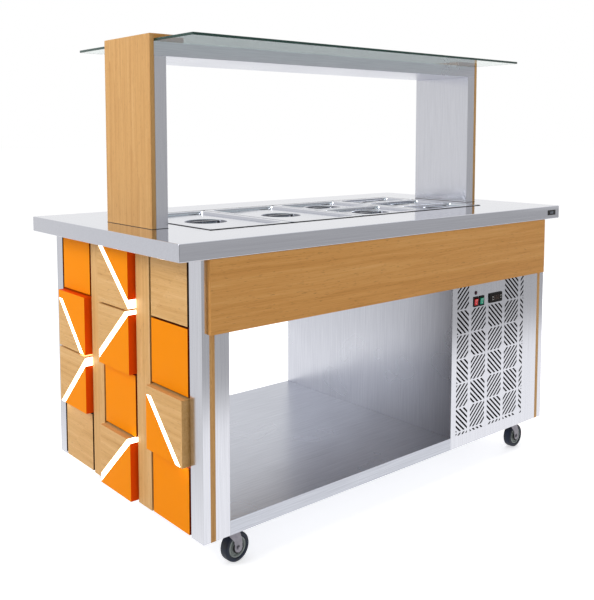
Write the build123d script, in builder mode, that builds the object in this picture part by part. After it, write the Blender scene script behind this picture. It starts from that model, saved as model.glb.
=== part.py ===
import os
from math import ceil, hypot
from build123d import *

# Heated salad bar on casters, in millimetres.
# The origin is on the floor, under the middle of the worktop.
# X runs along the counter, Y points to the back, Z points up.

os.makedirs("parts", exist_ok=True)

# Gap between pieces that lift off, turn or slide
seat_gap = 0.3
running_gap = 0.05

# Worktop, a tray of folded sheet
top_length = 1800
top_width = 952
top_height = 975
edge_height = 51
top_sheet = 2
end_overhang = 79
side_overhang = 15
side_flange = 60
end_flange = 135

# Body under the worktop
base_height = 118
post_outer_face = 25
inlay_width = 17
post_inner_face = 50
post_depth_left = 46
post_depth_right = 62
post_wall = 2
inlay_depth = 6
fascia_height = 210
fascia_end_inset = 19
apron_height = 44
shelf_sheet = 2
base_flange = 121
machine_bay_width = 477
panel_sheet = 2

body_length = top_length - 2 * end_overhang
body_width = top_width - 2 * side_overhang
body_top = top_height - edge_height
body_height = body_top - base_height
body_end = body_length / 2
body_front = -body_width / 2
post_face = post_outer_face + inlay_width + post_inner_face
bay_end = body_end - post_face
fascia_bottom = body_top - fascia_height
shelf_level = base_height + apron_height
partition_x = bay_end - machine_bay_width

# Well and the pans in it, of the 325 by 530 mm gastronorm module
rim_length = 530
rim_width = 325
rim_gap = 4
rim_sheet = 2
rim_border = 11.5
pan_depth = 100
pan_wall = 1.2
pan_draft = 3
pan_corner = 30
rim_corner = 15
column_pitch = rim_width + rim_gap
columns = 4
ledge = 12
tank_depth = 180
tank_wall = 1.5
tank_flange = 15
bar_width = 22
bar_depth = 15
jacket = 20

well_length = columns * column_pitch
well_width = rim_length + 2 * rim_gap
ledge_level = top_height - top_sheet
tank_length = well_length - 2 * ledge
tank_width = well_width - 2 * ledge
tank_floor = ledge_level - tank_depth
rim_level = ledge_level + seat_gap
lid_level = rim_level + rim_sheet + seat_gap

# Lids
lid_sheet = 1.2
lid_inset = 1.5
lid_border = 21
lid_sink = 8
lid_corner = 22
dish_radius = 72
dish_border = 36
dish_depth = 14
handle_width = 14
handle_sheet = 4
handle_height = 19
handle_inset = 14
ladle_length = 56
ladle_width = 32
ladle_corner = 8
ladle_from_side = 62
ladle_from_back = 45

# Heating element in the tank
element_radius = 4.25
element_pitch = 100
element_legs = 4
element_clear = 84
element_lead = 18

# Drain under the tank
drain_from_end = 86
drain_from_back = 157
drain_radius = 13.5
drain_bore = 10.5
drain_drop = 40
drain_collar = 19
drain_collar_height = 6
valve_above_shelf = 168
valve_length = 64
valve_width = 36
valve_stem = 5
valve_stem_length = 30
lever_length = 110
lever_width = 20
lever_sheet = 3

# Perforated panel: cells of slanted slots, mirrored from cell to cell
cell_width = 101.5
cell_height = 90.5
slot_pitch = 14.9
slot_width = 7
smallest_slot = 20
spine_rib = 16
row_rib = 6
field_left = 28
field_right = 43
first_spine = 102
field_top_gap = 3
plain_rows = 1
plain_first = 1
plain_last = 2

# Controls on the plain patch of the panel
lamp_from_partition = 134
lamp_below_fascia = 34
lamp_radius = 5.5
lamp_ring = 7.5
lamp_ring_proud = 1.5
lamp_proud = 4
lamp_depth = 22
switches_below_fascia = 67
switch_from_partition = 134
switch_pitch = 34
switch_width = 28
switch_height = 38
switch_frame = 4.5
switch_proud = 3
switch_depth = 20
rocker_tilt = 8
rocker_gap = 0.6
rocker_pivot_depth = 8
rocker_front = 9.5
rocker_hollow = 1.3
rocker_face = 24
rocker_back = 6
rocker_back_height = 14
rocker_pin = 1.5
rocker_pin_length = 1.9
thermostat_from_partition = 251.5
thermostat_below_fascia = 65
thermostat_width = 80
thermostat_height = 37
thermostat_proud = 4
thermostat_depth = 58
cutout_margin = 4
cutout_gap = 0.2

# Control box and cable gland in the machine bay
box_depth = 80
box_width = 280
box_height = 180
box_above_shelf = 258
box_sheet = 1.5
gland_from_end = 129
gland_above_shelf = 68
gland_radius = 10
gland_bore = 4.5
gland_nut = 13
gland_nut_height = 8
gland_length = 26

# Decorated ends: three columns of tiles with two oak strips between them
tile_sheet = 18
board_sheet = 18
end_strip = 80
tile_rows = 4
tile_columns = 3
tile_gap = 10
row_gap = 6
block_rise = 22
light_width = 20
light_recess = 1

# Gantry over the pans
post_inset = 115
oak_board = 15
gantry_width = 285
gantry_post = 42
gantry_wall = 2
beam_height = 43
glass_level = 567
glass_sheet = 8
glass_width = 706
glass_chamfer = 1
cap_length = 105
cap_sheet = 15

# Black plate on the edge of the worktop
badge_from_end = 54
badge_length = 54
badge_height = 20
badge_corner = 2.5
badge_sheet = 0.8

# Casters
wheel_radius = 45
wheel_width = 32
hub_radius = 31
hub_width = 29
hub_web = 8
hub_boss = 11
hub_rim = 4
tyre_chamfer = 3
axle_radius = 4
axle_head = 7
axle_head_height = 5
caster_end_inset = 125
caster_side_inset = 60
caster_trail = 26
caster_plate = 80
caster_plate_sheet = 3
race_radius = 20
race_height = 9
pin_radius = 6
pin_length = 7
crown_radius = 24
fork_sheet = 2.5
fork_gap = 1.5
leg_width = 50
leg_back = -20
leg_foot = 12
bolt_head = 6.5
bolt_head_height = 5
bolt_inset = 10


def save(piece, name):
    """Labels a finished piece and writes it under its own name."""
    piece.label = name
    export_step(piece, f"parts/{name}.step")


def box_piece(low, high):
    """A plain block between two opposite corners."""
    with BuildPart(Plane(origin=low)) as block:
        Box(*(b - a for a, b in zip(low, high)), align=(Align.MIN, Align.MIN, Align.MIN))
    return block.part


# Worktop
with BuildPart() as worktop:
    with BuildSketch(Plane.XY.offset(body_top)):
        Rectangle(top_length, top_width)
    extrude(amount=edge_height)
    with BuildSketch(Plane.XY.offset(body_top + top_sheet)):
        Rectangle(top_length - 2 * top_sheet, top_width - 2 * top_sheet)
    extrude(amount=edge_height - 2 * top_sheet, mode=Mode.SUBTRACT)
    with BuildSketch(Plane.XY.offset(body_top)):
        Rectangle(top_length - 2 * end_flange, top_width - 2 * side_flange)
    extrude(amount=top_sheet, mode=Mode.SUBTRACT)
    with BuildSketch(Plane.XY.offset(ledge_level)):
        Rectangle(well_length, well_width)
    extrude(amount=top_sheet, mode=Mode.SUBTRACT)
save(worktop.part, "worktop")

# Well tank, hung from its flange under the cut-out
drain_x = tank_length / 2 - drain_from_end
drain_y = tank_width / 2 - drain_from_back
element_ys = [element_pitch * (i - (element_legs - 1) / 2) for i in range(element_legs)]
element_z = tank_floor + tank_wall + element_radius
element_end = tank_length / 2 + tank_wall + element_lead
with BuildPart() as well_tank:
    with BuildSketch(Plane.XY.offset(ledge_level)):
        Rectangle(well_length + 2 * tank_flange, well_width + 2 * tank_flange)
    extrude(amount=-tank_wall)
    with BuildSketch(Plane.XY.offset(ledge_level)):
        Rectangle(tank_length + 2 * tank_wall, tank_width + 2 * tank_wall)
    extrude(amount=-tank_depth)
    with BuildSketch(Plane.XY.offset(ledge_level)):
        Rectangle(tank_length, tank_width)
    extrude(amount=-tank_depth + tank_wall, mode=Mode.SUBTRACT)
    with BuildSketch(Plane.XY.offset(tank_floor)):
        with Locations((drain_x, drain_y)):
            Circle(drain_bore)
    extrude(amount=tank_wall, mode=Mode.SUBTRACT)
    with BuildSketch(Plane.YZ.offset(tank_length / 2)):
        with Locations([(y, element_z) for y in (element_ys[0], element_ys[-1])]):
            Circle(element_radius)
    extrude(amount=tank_wall, mode=Mode.SUBTRACT)
save(well_tank.part, "well_tank")

# Insulation jacket round the tank
jacket_top = body_top + top_sheet
with BuildPart() as tank_insulation:
    with BuildSketch(Plane.XY.offset(tank_floor - jacket)):
        Rectangle(tank_length + 2 * (tank_wall + jacket), tank_width + 2 * (tank_wall + jacket))
    extrude(amount=jacket_top - tank_floor + jacket)
    with BuildSketch(Plane.XY.offset(tank_floor)):
        Rectangle(tank_length + 2 * tank_wall, tank_width + 2 * tank_wall)
    extrude(amount=jacket_top - tank_floor, mode=Mode.SUBTRACT)
    with BuildSketch(Plane.XY.offset(tank_floor - jacket)):
        with Locations((drain_x, drain_y)):
            Circle(drain_radius)
    extrude(amount=jacket, mode=Mode.SUBTRACT)
    with BuildSketch(Plane.YZ.offset(tank_length / 2 + tank_wall)):
        with Locations([(y, element_z) for y in (element_ys[0], element_ys[-1])]):
            Circle(element_radius)
    extrude(amount=jacket, mode=Mode.SUBTRACT)
save(tank_insulation.part, "tank_insulation")

# Pans by column, left to right: how many share the column
column_pans = [1, 1, 2, 3]
column_xs = [column_pitch * (i - (columns - 1) / 2) for i in range(columns)]

# Bars that carry the rims between the columns and between shared pans
support_bars = []
for x in column_xs[:-1]:
    low = (x + (column_pitch - bar_width) / 2, -tank_width / 2, ledge_level - bar_depth)
    high = (low[0] + bar_width, tank_width / 2, ledge_level)
    support_bars.append(box_piece(low, high))
for x, count in zip(column_xs, column_pans):
    left_x = x - (column_pitch - bar_width) / 2
    right_x = min(x + (column_pitch - bar_width) / 2, tank_length / 2)
    for i in range(1, count):
        bar_y = well_width * (i / count - 0.5)
        low = (left_x, bar_y - bar_width / 2, ledge_level - bar_depth)
        high = (right_x, bar_y + bar_width / 2, ledge_level)
        support_bars.append(box_piece(low, high))
save(Part(children=support_bars), "gn_support_bars")

# Heating element: one tube in three turns on the tank's floor
element_turn = element_pitch / 2
element_run = tank_length / 2 - element_clear
with BuildPart() as heating_element:
    with BuildLine(Plane.XY.offset(element_z)):
        Line((element_end, element_ys[0]), (-element_run, element_ys[0]))
        for i in range(element_legs - 1):
            side = -1 if i % 2 == 0 else 1
            bend_x = side * element_run
            middle = (bend_x + side * element_turn, element_ys[i] + element_turn)
            ThreePointArc((bend_x, element_ys[i]), middle, (bend_x, element_ys[i + 1]))
            far_x = element_end if i == element_legs - 2 else -bend_x
            Line((bend_x, element_ys[i + 1]), (far_x, element_ys[i + 1]))
    with BuildSketch(Plane(origin=(element_end, element_ys[0], element_z), z_dir=(-1, 0, 0))):
        Circle(element_radius)
    sweep()
save(heating_element.part, "heating_element")

# Drain pipe with the body of its ball valve
drain_end = base_height - drain_drop
valve_level = shelf_level + valve_above_shelf
valve_bottom = valve_level - valve_length / 2
stem_y = drain_y + valve_width / 2
with BuildPart() as drain_valve:
    with BuildSketch(Plane.XY.offset(drain_end)):
        with Locations((drain_x, drain_y)):
            Circle(drain_radius)
    extrude(amount=tank_floor - drain_end)
    with BuildSketch(Plane.XY.offset(shelf_level - shelf_sheet)):
        with Locations((drain_x, drain_y)):
            Circle(drain_collar)
    extrude(amount=-drain_collar_height)
    with BuildSketch(Plane.XY.offset(valve_bottom)):
        with Locations((drain_x, drain_y)):
            Rectangle(valve_width, valve_width)
    extrude(amount=valve_length)
    with BuildSketch(Plane.XZ.offset(-stem_y)):
        with Locations((drain_x, valve_level)):
            Circle(valve_stem)
    extrude(amount=-valve_stem_length)
    with BuildSketch(Plane.XY.offset(drain_end)):
        with Locations((drain_x, drain_y)):
            Circle(drain_bore)
    extrude(amount=tank_floor - drain_end, mode=Mode.SUBTRACT)
save(drain_valve.part, "drain_valve")

# Valve lever, shut: it lies across the pipe
lever_y = stem_y + valve_stem_length - 2 * lever_sheet
with BuildPart() as drain_lever:
    with BuildSketch(Plane.XZ.offset(-lever_y)):
        with Locations((drain_x - lever_length / 2, valve_level)):
            SlotCenterToCenter(lever_length, lever_width)
        with Locations((drain_x, valve_level)):
            Circle(valve_stem + running_gap, mode=Mode.SUBTRACT)
    extrude(amount=-lever_sheet)
save(drain_lever.part, "drain_lever")


def gn_rim(count):
    """Outer width of one rim along Y when a number of pans share a column."""
    return (well_width - rim_gap * (count + 1)) / count


def gn_place(column, count, number):
    """Centre of a pan: the column's X and its place from the front."""
    return column_xs[column], (gn_rim(count) + rim_gap) * (number - (count - 1) / 2)


def make_pan(x, y, rim):
    """A tapered pan that hangs by its flat rim."""
    mouth_x = rim_width - 2 * rim_border
    mouth_y = rim - 2 * rim_border
    with BuildPart() as pan:
        with BuildSketch(Plane((x, y, rim_level))):
            RectangleRounded(rim_width, rim, rim_corner)
        extrude(amount=rim_sheet)
        with BuildSketch(Plane((x, y, rim_level))):
            RectangleRounded(mouth_x, mouth_y, pan_corner)
        extrude(amount=-pan_depth, taper=pan_draft)
        with BuildSketch(Plane((x, y, rim_level + rim_sheet))):
            RectangleRounded(mouth_x - 2 * pan_wall, mouth_y - 2 * pan_wall, pan_corner - pan_wall)
        extrude(amount=-pan_depth - rim_sheet + pan_wall, taper=pan_draft, mode=Mode.SUBTRACT)
    return pan.part


def make_lid(x, y, rim):
    """A pressed lid: its panel is sunk into the pan and holds a round dish with an
    arch handle, and a ladle hole."""
    brim_x = rim_width - 2 * lid_inset
    brim_y = rim - 2 * lid_inset
    panel_x = brim_x - 2 * lid_border
    panel_y = brim_y - 2 * lid_border
    dish = min(dish_radius, rim / 2 - dish_border)
    face = lid_level + lid_sheet - lid_sink
    dish_floor = face - dish_depth
    handle_foot = dish - handle_inset
    under_handle = handle_height - handle_sheet
    with BuildPart() as lid:
        with BuildSketch(Plane((x, y, lid_level))):
            RectangleRounded(brim_x, brim_y, rim_corner - lid_inset)
        extrude(amount=lid_sheet)
        with BuildSketch(Plane((x, y, lid_level))):
            RectangleRounded(panel_x, panel_y, lid_corner)
        extrude(amount=-lid_sink)
        with BuildSketch(Plane((x, y, face))):
            RectangleRounded(panel_x - 2 * lid_sheet, panel_y - 2 * lid_sheet, lid_corner - lid_sheet)
        extrude(amount=lid_sink, mode=Mode.SUBTRACT)
        with BuildSketch(Plane((x, y, dish_floor - lid_sheet))):
            Circle(dish + lid_sheet)
        extrude(amount=dish_depth + lid_sheet)
        with BuildSketch(Plane((x, y, dish_floor))):
            Circle(dish)
        extrude(amount=dish_depth, mode=Mode.SUBTRACT)
        with BuildSketch(Plane((x, y, dish_floor), x_dir=(1, 0, 0), z_dir=(0, -1, 0))):
            with Locations((0, handle_height / 2)):
                Rectangle(2 * handle_foot, handle_height)
            with Locations((0, under_handle / 2)):
                Rectangle(2 * (handle_foot - handle_sheet), under_handle, mode=Mode.SUBTRACT)
        extrude(amount=handle_width / 2, both=True)
        ladle_x = x + rim_width / 2 - ladle_from_side
        ladle_y = y + rim / 2 - ladle_from_back
        with BuildSketch(Plane((ladle_x, ladle_y, face))):
            RectangleRounded(ladle_length, ladle_width, ladle_corner)
        extrude(amount=-lid_sheet, mode=Mode.SUBTRACT)
    return lid.part


place_names = {1: [""], 2: ["_front", "_back"], 3: ["_front", "_middle", "_back"]}
column_names = ["full_left", "full_right", "half", "third"]
for column, count in enumerate(column_pans):
    for number in range(count):
        x, y = gn_place(column, count, number)
        name = column_names[column] + place_names[count][number]
        save(make_pan(x, y, gn_rim(count)), f"pan_{name}")
        save(make_lid(x, y, gn_rim(count)), f"lid_{name}")

# Four corner posts, each folded with a groove for its oak inlay. Seen from either end,
# the post on the right is the deeper one.
post_depths = {(-1, -1): post_depth_right, (-1, 1): post_depth_left,
               (1, -1): post_depth_left, (1, 1): post_depth_right}
inlay_x = body_end - post_outer_face - inlay_width / 2
groove = inlay_depth + post_wall
with BuildPart() as corner_posts:
    with BuildSketch(Plane.XY.offset(base_height)):
        for (sx, sy), post_depth in post_depths.items():
            with Locations((sx * (body_end - post_face / 2), sy * (body_width - post_depth) / 2)):
                Rectangle(post_face, post_depth)
                Rectangle(post_face - 2 * post_wall, post_depth - 2 * post_wall, mode=Mode.SUBTRACT)
            with Locations((sx * inlay_x, sy * (body_width - groove) / 2)):
                Rectangle(inlay_width + 2 * post_wall, groove)
            with Locations((sx * inlay_x, sy * (body_width - inlay_depth) / 2)):
                Rectangle(inlay_width, inlay_depth, mode=Mode.SUBTRACT)
    extrude(amount=body_height)
save(corner_posts.part, "corner_posts")

with BuildPart() as oak_inlays:
    with BuildSketch(Plane.XY.offset(base_height)):
        for sx, sy in post_depths:
            with Locations((sx * inlay_x, sy * (body_width - inlay_depth) / 2)):
                Rectangle(inlay_width, inlay_depth)
    extrude(amount=body_height)
save(oak_inlays.part, "oak_inlays")

# Fascias, flush with the edges of the worktop
fascia_length = body_length - 2 * fascia_end_inset
for side, name in ((-1, "fascia_front"), (1, "fascia_back")):
    low_y = min(side * body_width / 2, side * top_width / 2)
    fascia = box_piece((-fascia_length / 2, low_y, fascia_bottom),
                       (fascia_length / 2, low_y + side_overhang, body_top))
    save(fascia, name)

# Decorated ends
field_width = body_width - post_depth_left - post_depth_right
field_shift = (post_depth_right - post_depth_left) / 2
tile_width = (field_width - (tile_columns - 1) * end_strip) / tile_columns
tile_height = body_height / tile_rows
tile_back = body_end - tile_sheet
board_back = tile_back - board_sheet
end_sides = (-1, 1)

# Base shelf: floor, aprons and the flanges that the casters are bolted under
floor_half = board_back
with BuildPart() as base_shelf:
    with BuildSketch(Plane.XY.offset(base_height)):
        Rectangle(2 * floor_half, body_width)
    extrude(amount=apron_height)
    with BuildSketch(Plane.XY.offset(base_height)):
        Rectangle(2 * (floor_half - shelf_sheet), body_width - 2 * (shelf_sheet + panel_sheet))
    extrude(amount=apron_height - shelf_sheet, mode=Mode.SUBTRACT)
    with BuildSketch(Plane.XY.offset(base_height)):
        for sy in (-1, 1):
            with Locations((0, sy * (body_width / 2 - base_flange / 2 - panel_sheet))):
                Rectangle(2 * floor_half, base_flange)
    extrude(amount=shelf_sheet)
    with BuildSketch(Plane.XY.offset(base_height)):
        for (sx, sy), post_depth in post_depths.items():
            with Locations((sx * (body_end - post_face / 2), sy * (body_width - post_depth) / 2)):
                Rectangle(post_face, post_depth)
        for sy in (-1, 1):
            with Locations((partition_x + machine_bay_width / 2, sy * (body_width - panel_sheet) / 2)):
                Rectangle(machine_bay_width, panel_sheet)
        with Locations((drain_x, drain_y)):
            Circle(drain_radius)
    extrude(amount=apron_height, mode=Mode.SUBTRACT)
save(base_shelf.part, "base_shelf")

# Partition between the open bay and the machine bay
jacket_bottom = tank_floor - jacket
jacket_half = tank_width / 2 + tank_wall + jacket
with BuildPart() as partition:
    with BuildSketch(Plane.YZ.offset(partition_x)):
        with Locations((0, (shelf_level + body_top) / 2)):
            Rectangle(body_width - 2 * panel_sheet, body_top - shelf_level)
        with Locations((0, (jacket_bottom + body_top) / 2)):
            Rectangle(2 * jacket_half, body_top - jacket_bottom, mode=Mode.SUBTRACT)
    extrude(amount=panel_sheet)
save(partition.part, "partition")


def cut_by_line(points, normal, limit):
    """The part of a convex outline where the product with the normal is under the limit."""
    kept = []
    for i, here in enumerate(points):
        before = points[i - 1]
        d_here = here[0] * normal[0] + here[1] * normal[1] - limit
        d_before = before[0] * normal[0] + before[1] * normal[1] - limit
        if d_here * d_before < 0:
            t = d_before / (d_before - d_here)
            kept.append((before[0] + t * (here[0] - before[0]), before[1] + t * (here[1] - before[1])))
        if d_here <= 0:
            kept.append(here)
    return kept


def outline_area(points):
    """Area inside a closed outline."""
    pairs = zip(points, points[1:] + points[:1])
    return abs(sum(a[0] * b[1] - b[0] * a[1] for a, b in pairs)) / 2


# Slots of the perforated panel, as outlines in X and Z
field_x0 = partition_x + field_left
field_x1 = bay_end - field_right
field_top = fascia_bottom + field_top_gap
field_bottom = shelf_level
spine_x0 = partition_x + first_spine - cell_width
cell_columns = ceil((field_x1 - spine_x0) / cell_width)
cell_rows = ceil((field_top - field_bottom) / cell_height)
cell_diagonal = hypot(cell_width, cell_height)
stripes = ceil(cell_diagonal / slot_pitch / 2)
slots = []
for i in range(cell_columns):
    for j in range(cell_rows):
        if j < plain_rows and plain_first <= i <= plain_last:
            continue
        cell_x = spine_x0 + i * cell_width
        cell_z = field_top - j * cell_height
        x0 = max(cell_x + spine_rib / 2, field_x0)
        x1 = min(cell_x + cell_width - spine_rib / 2, field_x1)
        z0 = max(cell_z - cell_height + row_rib / 2, field_bottom)
        z1 = cell_z - row_rib / 2
        if x1 - x0 < slot_width or z1 - z0 < slot_width:
            continue
        lean = 1 if (i + j) % 2 else -1
        normal = (lean * cell_height / cell_diagonal, cell_width / cell_diagonal)
        middle = (cell_x + cell_width / 2, cell_z - cell_height / 2)
        centre = middle[0] * normal[0] + middle[1] * normal[1]
        for k in range(-stripes, stripes + 1):
            edge = centre + k * slot_pitch
            outline = [(x0, z0), (x1, z0), (x1, z1), (x0, z1)]
            outline = cut_by_line(outline, normal, edge + slot_width / 2)
            opposite = (-normal[0], -normal[1])
            if outline:
                outline = cut_by_line(outline, opposite, slot_width / 2 - edge)
            if len(outline) > 2 and outline_area(outline) > smallest_slot:
                slots.append(outline)

slot_faces = [Polygon(*outline, align=None) for outline in slots]

lamp_x = partition_x + lamp_from_partition
lamp_z = fascia_bottom - lamp_below_fascia
switch_xs = [partition_x + switch_from_partition + i * switch_pitch for i in range(2)]
switch_z = fascia_bottom - switches_below_fascia
thermostat_x = partition_x + thermostat_from_partition
thermostat_z = fascia_bottom - thermostat_below_fascia
front_plane = Plane.XZ.offset(body_width / 2)
with BuildPart() as grille_panel:
    with BuildSketch(front_plane):
        with Locations((partition_x + machine_bay_width / 2, (base_height + body_top) / 2)):
            Rectangle(machine_bay_width, body_height)
        with Locations((lamp_x, lamp_z)):
            Circle(lamp_radius + cutout_gap, mode=Mode.SUBTRACT)
        with Locations([(x, switch_z) for x in switch_xs]):
            Rectangle(switch_width - cutout_margin, switch_height - cutout_margin, mode=Mode.SUBTRACT)
        with Locations((thermostat_x, thermostat_z)):
            Rectangle(thermostat_width - 2 * cutout_margin, thermostat_height - 2 * cutout_margin,
                      mode=Mode.SUBTRACT)
    extrude(amount=-panel_sheet)
    with BuildSketch(front_plane):
        add(slot_faces)
    extrude(amount=-panel_sheet, mode=Mode.SUBTRACT)
save(grille_panel.part, "grille_panel")

# Plain panel that shuts the machine bay at the back
gland_x = bay_end - gland_from_end
gland_z = shelf_level + gland_above_shelf
with BuildPart() as back_panel:
    with BuildSketch(Plane.XZ.offset(-body_width / 2)):
        with Locations((partition_x + machine_bay_width / 2, (base_height + body_top) / 2)):
            Rectangle(machine_bay_width, body_height)
        with Locations((gland_x, gland_z)):
            Circle(gland_radius, mode=Mode.SUBTRACT)
    extrude(amount=panel_sheet)
save(back_panel.part, "back_panel")

# Pilot lamp: ring, lens and body in one piece
with BuildPart() as pilot_lamp:
    with BuildSketch(front_plane):
        with Locations((lamp_x, lamp_z)):
            Circle(lamp_ring)
    extrude(amount=lamp_ring_proud)
    with BuildSketch(front_plane):
        with Locations((lamp_x, lamp_z)):
            Circle(lamp_radius)
    extrude(amount=lamp_proud)
    with BuildSketch(front_plane):
        with Locations((lamp_x, lamp_z)):
            Circle(lamp_radius)
    extrude(amount=-lamp_depth)
save(pilot_lamp.part, "pilot_lamp")

# Two switch frames side by side, each a cup with a rocker in it
rocker_width = switch_width - 2 * switch_frame
rocker_height = switch_height - 2 * switch_frame
rocker_pivot_y = body_front - switch_proud + rocker_pivot_depth
rocker_half = rocker_width / 2 - rocker_gap
cup_width = switch_width - cutout_margin - 2 * cutout_gap
cup_height = switch_height - cutout_margin - 2 * cutout_gap
with BuildPart() as switch_frames:
    with BuildSketch(front_plane):
        with Locations([(x, switch_z) for x in switch_xs]):
            Rectangle(switch_width, switch_height)
    extrude(amount=switch_proud)
    with BuildSketch(front_plane):
        with Locations([(x, switch_z) for x in switch_xs]):
            Rectangle(cup_width, cup_height)
    extrude(amount=-switch_depth)
    with BuildSketch(front_plane.offset(switch_proud)):
        with Locations([(x, switch_z) for x in switch_xs]):
            Rectangle(rocker_width, rocker_height)
    extrude(amount=-switch_depth, mode=Mode.SUBTRACT)
    for x in switch_xs:
        with BuildSketch(Plane.YZ.offset(x)):
            with Locations((rocker_pivot_y, switch_z)):
                Circle(rocker_pin + running_gap)
        extrude(amount=rocker_half + rocker_pin_length + running_gap, both=True, mode=Mode.SUBTRACT)
save(switch_frames.part, "switch_frames")

# Rockers, each a cap with a hollowed face on two pins, tilted to off
for x, name in zip(switch_xs, ("rocker_red", "rocker_green")):
    pivot = Plane(origin=(x, rocker_pivot_y, switch_z), x_dir=(0, -1, 0), z_dir=(1, 0, 0))
    tilted = pivot.rotated((rocker_tilt, 0, 0))
    with BuildPart() as rocker:
        with BuildSketch(tilted):
            Polygon((rocker_front, rocker_face / 2), (rocker_front - rocker_hollow, 0),
                    (rocker_front, -rocker_face / 2), (-rocker_back, -rocker_back_height / 2),
                    (-rocker_back, rocker_back_height / 2), align=None)
        extrude(amount=rocker_half, both=True)
        with BuildSketch(tilted):
            Circle(rocker_pin)
        extrude(amount=rocker_half + rocker_pin_length, both=True)
    save(rocker.part, name)

# Thermostat: a bezel with the body behind it
with BuildPart() as thermostat:
    with BuildSketch(front_plane):
        with Locations((thermostat_x, thermostat_z)):
            RectangleRounded(thermostat_width, thermostat_height, cutout_margin)
    extrude(amount=thermostat_proud)
    with BuildSketch(front_plane):
        with Locations((thermostat_x, thermostat_z)):
            Rectangle(thermostat_width - 2 * (cutout_margin + cutout_gap),
                      thermostat_height - 2 * (cutout_margin + cutout_gap))
    extrude(amount=-thermostat_depth)
save(thermostat.part, "thermostat")

# Control box on the partition
box_level = shelf_level + box_above_shelf
with BuildPart() as control_box:
    with BuildSketch(Plane.XY.offset(box_level)):
        with Locations((partition_x + panel_sheet + box_depth / 2, 0)):
            Rectangle(box_depth, box_width)
    extrude(amount=box_height)
    with BuildSketch(Plane.XY.offset(box_level + box_sheet)):
        with Locations((partition_x + panel_sheet + box_depth / 2, 0)):
            Rectangle(box_depth - 2 * box_sheet, box_width - 2 * box_sheet)
    extrude(amount=box_height - 2 * box_sheet, mode=Mode.SUBTRACT)
save(control_box.part, "control_box")

# Cable gland through the back panel
with BuildPart() as cable_gland:
    with BuildSketch(Plane.XZ.offset(-body_width / 2)):
        with Locations((gland_x, gland_z)):
            RegularPolygon(gland_nut, 6)
    extrude(amount=-gland_nut_height)
    with BuildSketch(Plane.XZ.offset(-body_width / 2)):
        with Locations((gland_x, gland_z)):
            Circle(gland_radius)
    extrude(amount=gland_length - gland_nut_height)
    with BuildSketch(Plane.XZ.offset(-body_width / 2 - gland_nut_height)):
        with Locations((gland_x, gland_z)):
            Circle(gland_bore)
    extrude(amount=gland_length, mode=Mode.SUBTRACT)
save(cable_gland.part, "cable_gland")

# End boards behind the tiles
with BuildPart() as end_boards:
    with BuildSketch(Plane.XY.offset(base_height)):
        with Locations([(side * (tile_back + board_back) / 2, -side * field_shift) for side in end_sides]):
            Rectangle(board_sheet, field_width)
    extrude(amount=body_height)
save(end_boards.part, "end_boards")

# Upright oak strips between the tile columns
with BuildPart() as end_oak_strips:
    with BuildSketch(Plane.XY.offset(base_height)):
        for side in end_sides:
            for hand in (-1, 1):
                strip_y = -side * field_shift + hand * (tile_width + end_strip) / 2
                with Locations((side * (tile_back + body_end) / 2, strip_y)):
                    Rectangle(tile_sheet, end_strip)
    extrude(amount=body_height)
save(end_oak_strips.part, "end_oak_strips")

# Tiles by row from the top and column from the viewer's left. A flush tile has one
# colour. A raised block has the top and the foot of its light bar, as shares of the
# block's width and height, the share of the height where the bar ends, and the
# colours to the left and right of the bar. Above its end the right colour goes on.
end_tiles = [
    ["orange", ((0.045, 1), (1, 0.095), 1, "oak", "orange"), "oak"],
    [((0, 0.932), (0.869, 0), 0.855, "oak", "orange"),
     ((0.97, 1), (0, 0.135), 1, "oak", "orange"), "orange"],
    [((1, 0.91), (0.1, 0), 1, "oak", "orange"), "orange",
     ((0, 0.944), (0.884, 0), 0.86, "orange", "oak")],
    ["oak", ((0.975, 1), (0, 0.085), 1, "oak", "orange"), "orange"],
]

tile_solids = {"flush_tiles_oak": [], "flush_tiles_orange": [],
               "raised_prisms_oak": [], "raised_prisms_orange": [], "light_bars": []}
for side in end_sides:
    for row, tiles in enumerate(end_tiles):
        for column, tile in enumerate(tiles):
            left = -field_width / 2 - field_shift + column * (tile_width + end_strip)
            bottom = body_top - (row + 1) * tile_height
            raised = not isinstance(tile, str)
            x0, x1 = left + tile_gap, left + tile_width - tile_gap
            z0, z1 = bottom + row_gap / 2, bottom + tile_height - row_gap / 2
            outline = [(x0, z0), (x1, z0), (x1, z1), (x0, z1)]
            depth = tile_sheet + block_rise if raised else tile_sheet
            if not raised:
                pieces = [(f"flush_tiles_{tile}", [outline], depth)]
            else:
                bar_top, bar_foot, bar_end, left_colour, right_colour = tile
                a = (x0 + bar_top[0] * (x1 - x0), z0 + bar_top[1] * (z1 - z0))
                b = (x0 + bar_foot[0] * (x1 - x0), z0 + bar_foot[1] * (z1 - z0))
                length = hypot(b[0] - a[0], b[1] - a[1])
                normal = ((a[1] - b[1]) / length, (b[0] - a[0]) / length)
                centre = a[0] * normal[0] + a[1] * normal[1]
                opposite = (-normal[0], -normal[1])
                half = light_width / 2
                left_part = cut_by_line(outline, normal, centre - half)
                right_part = cut_by_line(outline, opposite, -centre - half)
                band = cut_by_line(cut_by_line(outline, normal, centre + half), opposite, half - centre)
                bar_level = z0 + bar_end * (z1 - z0)
                bar = cut_by_line(band, (0, 1), bar_level)
                right_parts = [right_part]
                if bar_end < 1:
                    right_parts.append(cut_by_line(band, (0, -1), -bar_level))
                pieces = [(f"raised_prisms_{left_colour}", [left_part], depth),
                          (f"raised_prisms_{right_colour}", right_parts, depth),
                          ("light_bars", [bar], depth - light_recess)]
            for name, outlines, thickness in pieces:
                face = Plane(origin=(side * tile_back, 0, 0), x_dir=(0, side, 0), z_dir=(side, 0, 0))
                with BuildPart() as piece:
                    with BuildSketch(face):
                        for points in outlines:
                            Polygon(*points, align=None)
                    extrude(amount=thickness)
                tile_solids[name].append(piece.part)
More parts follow.
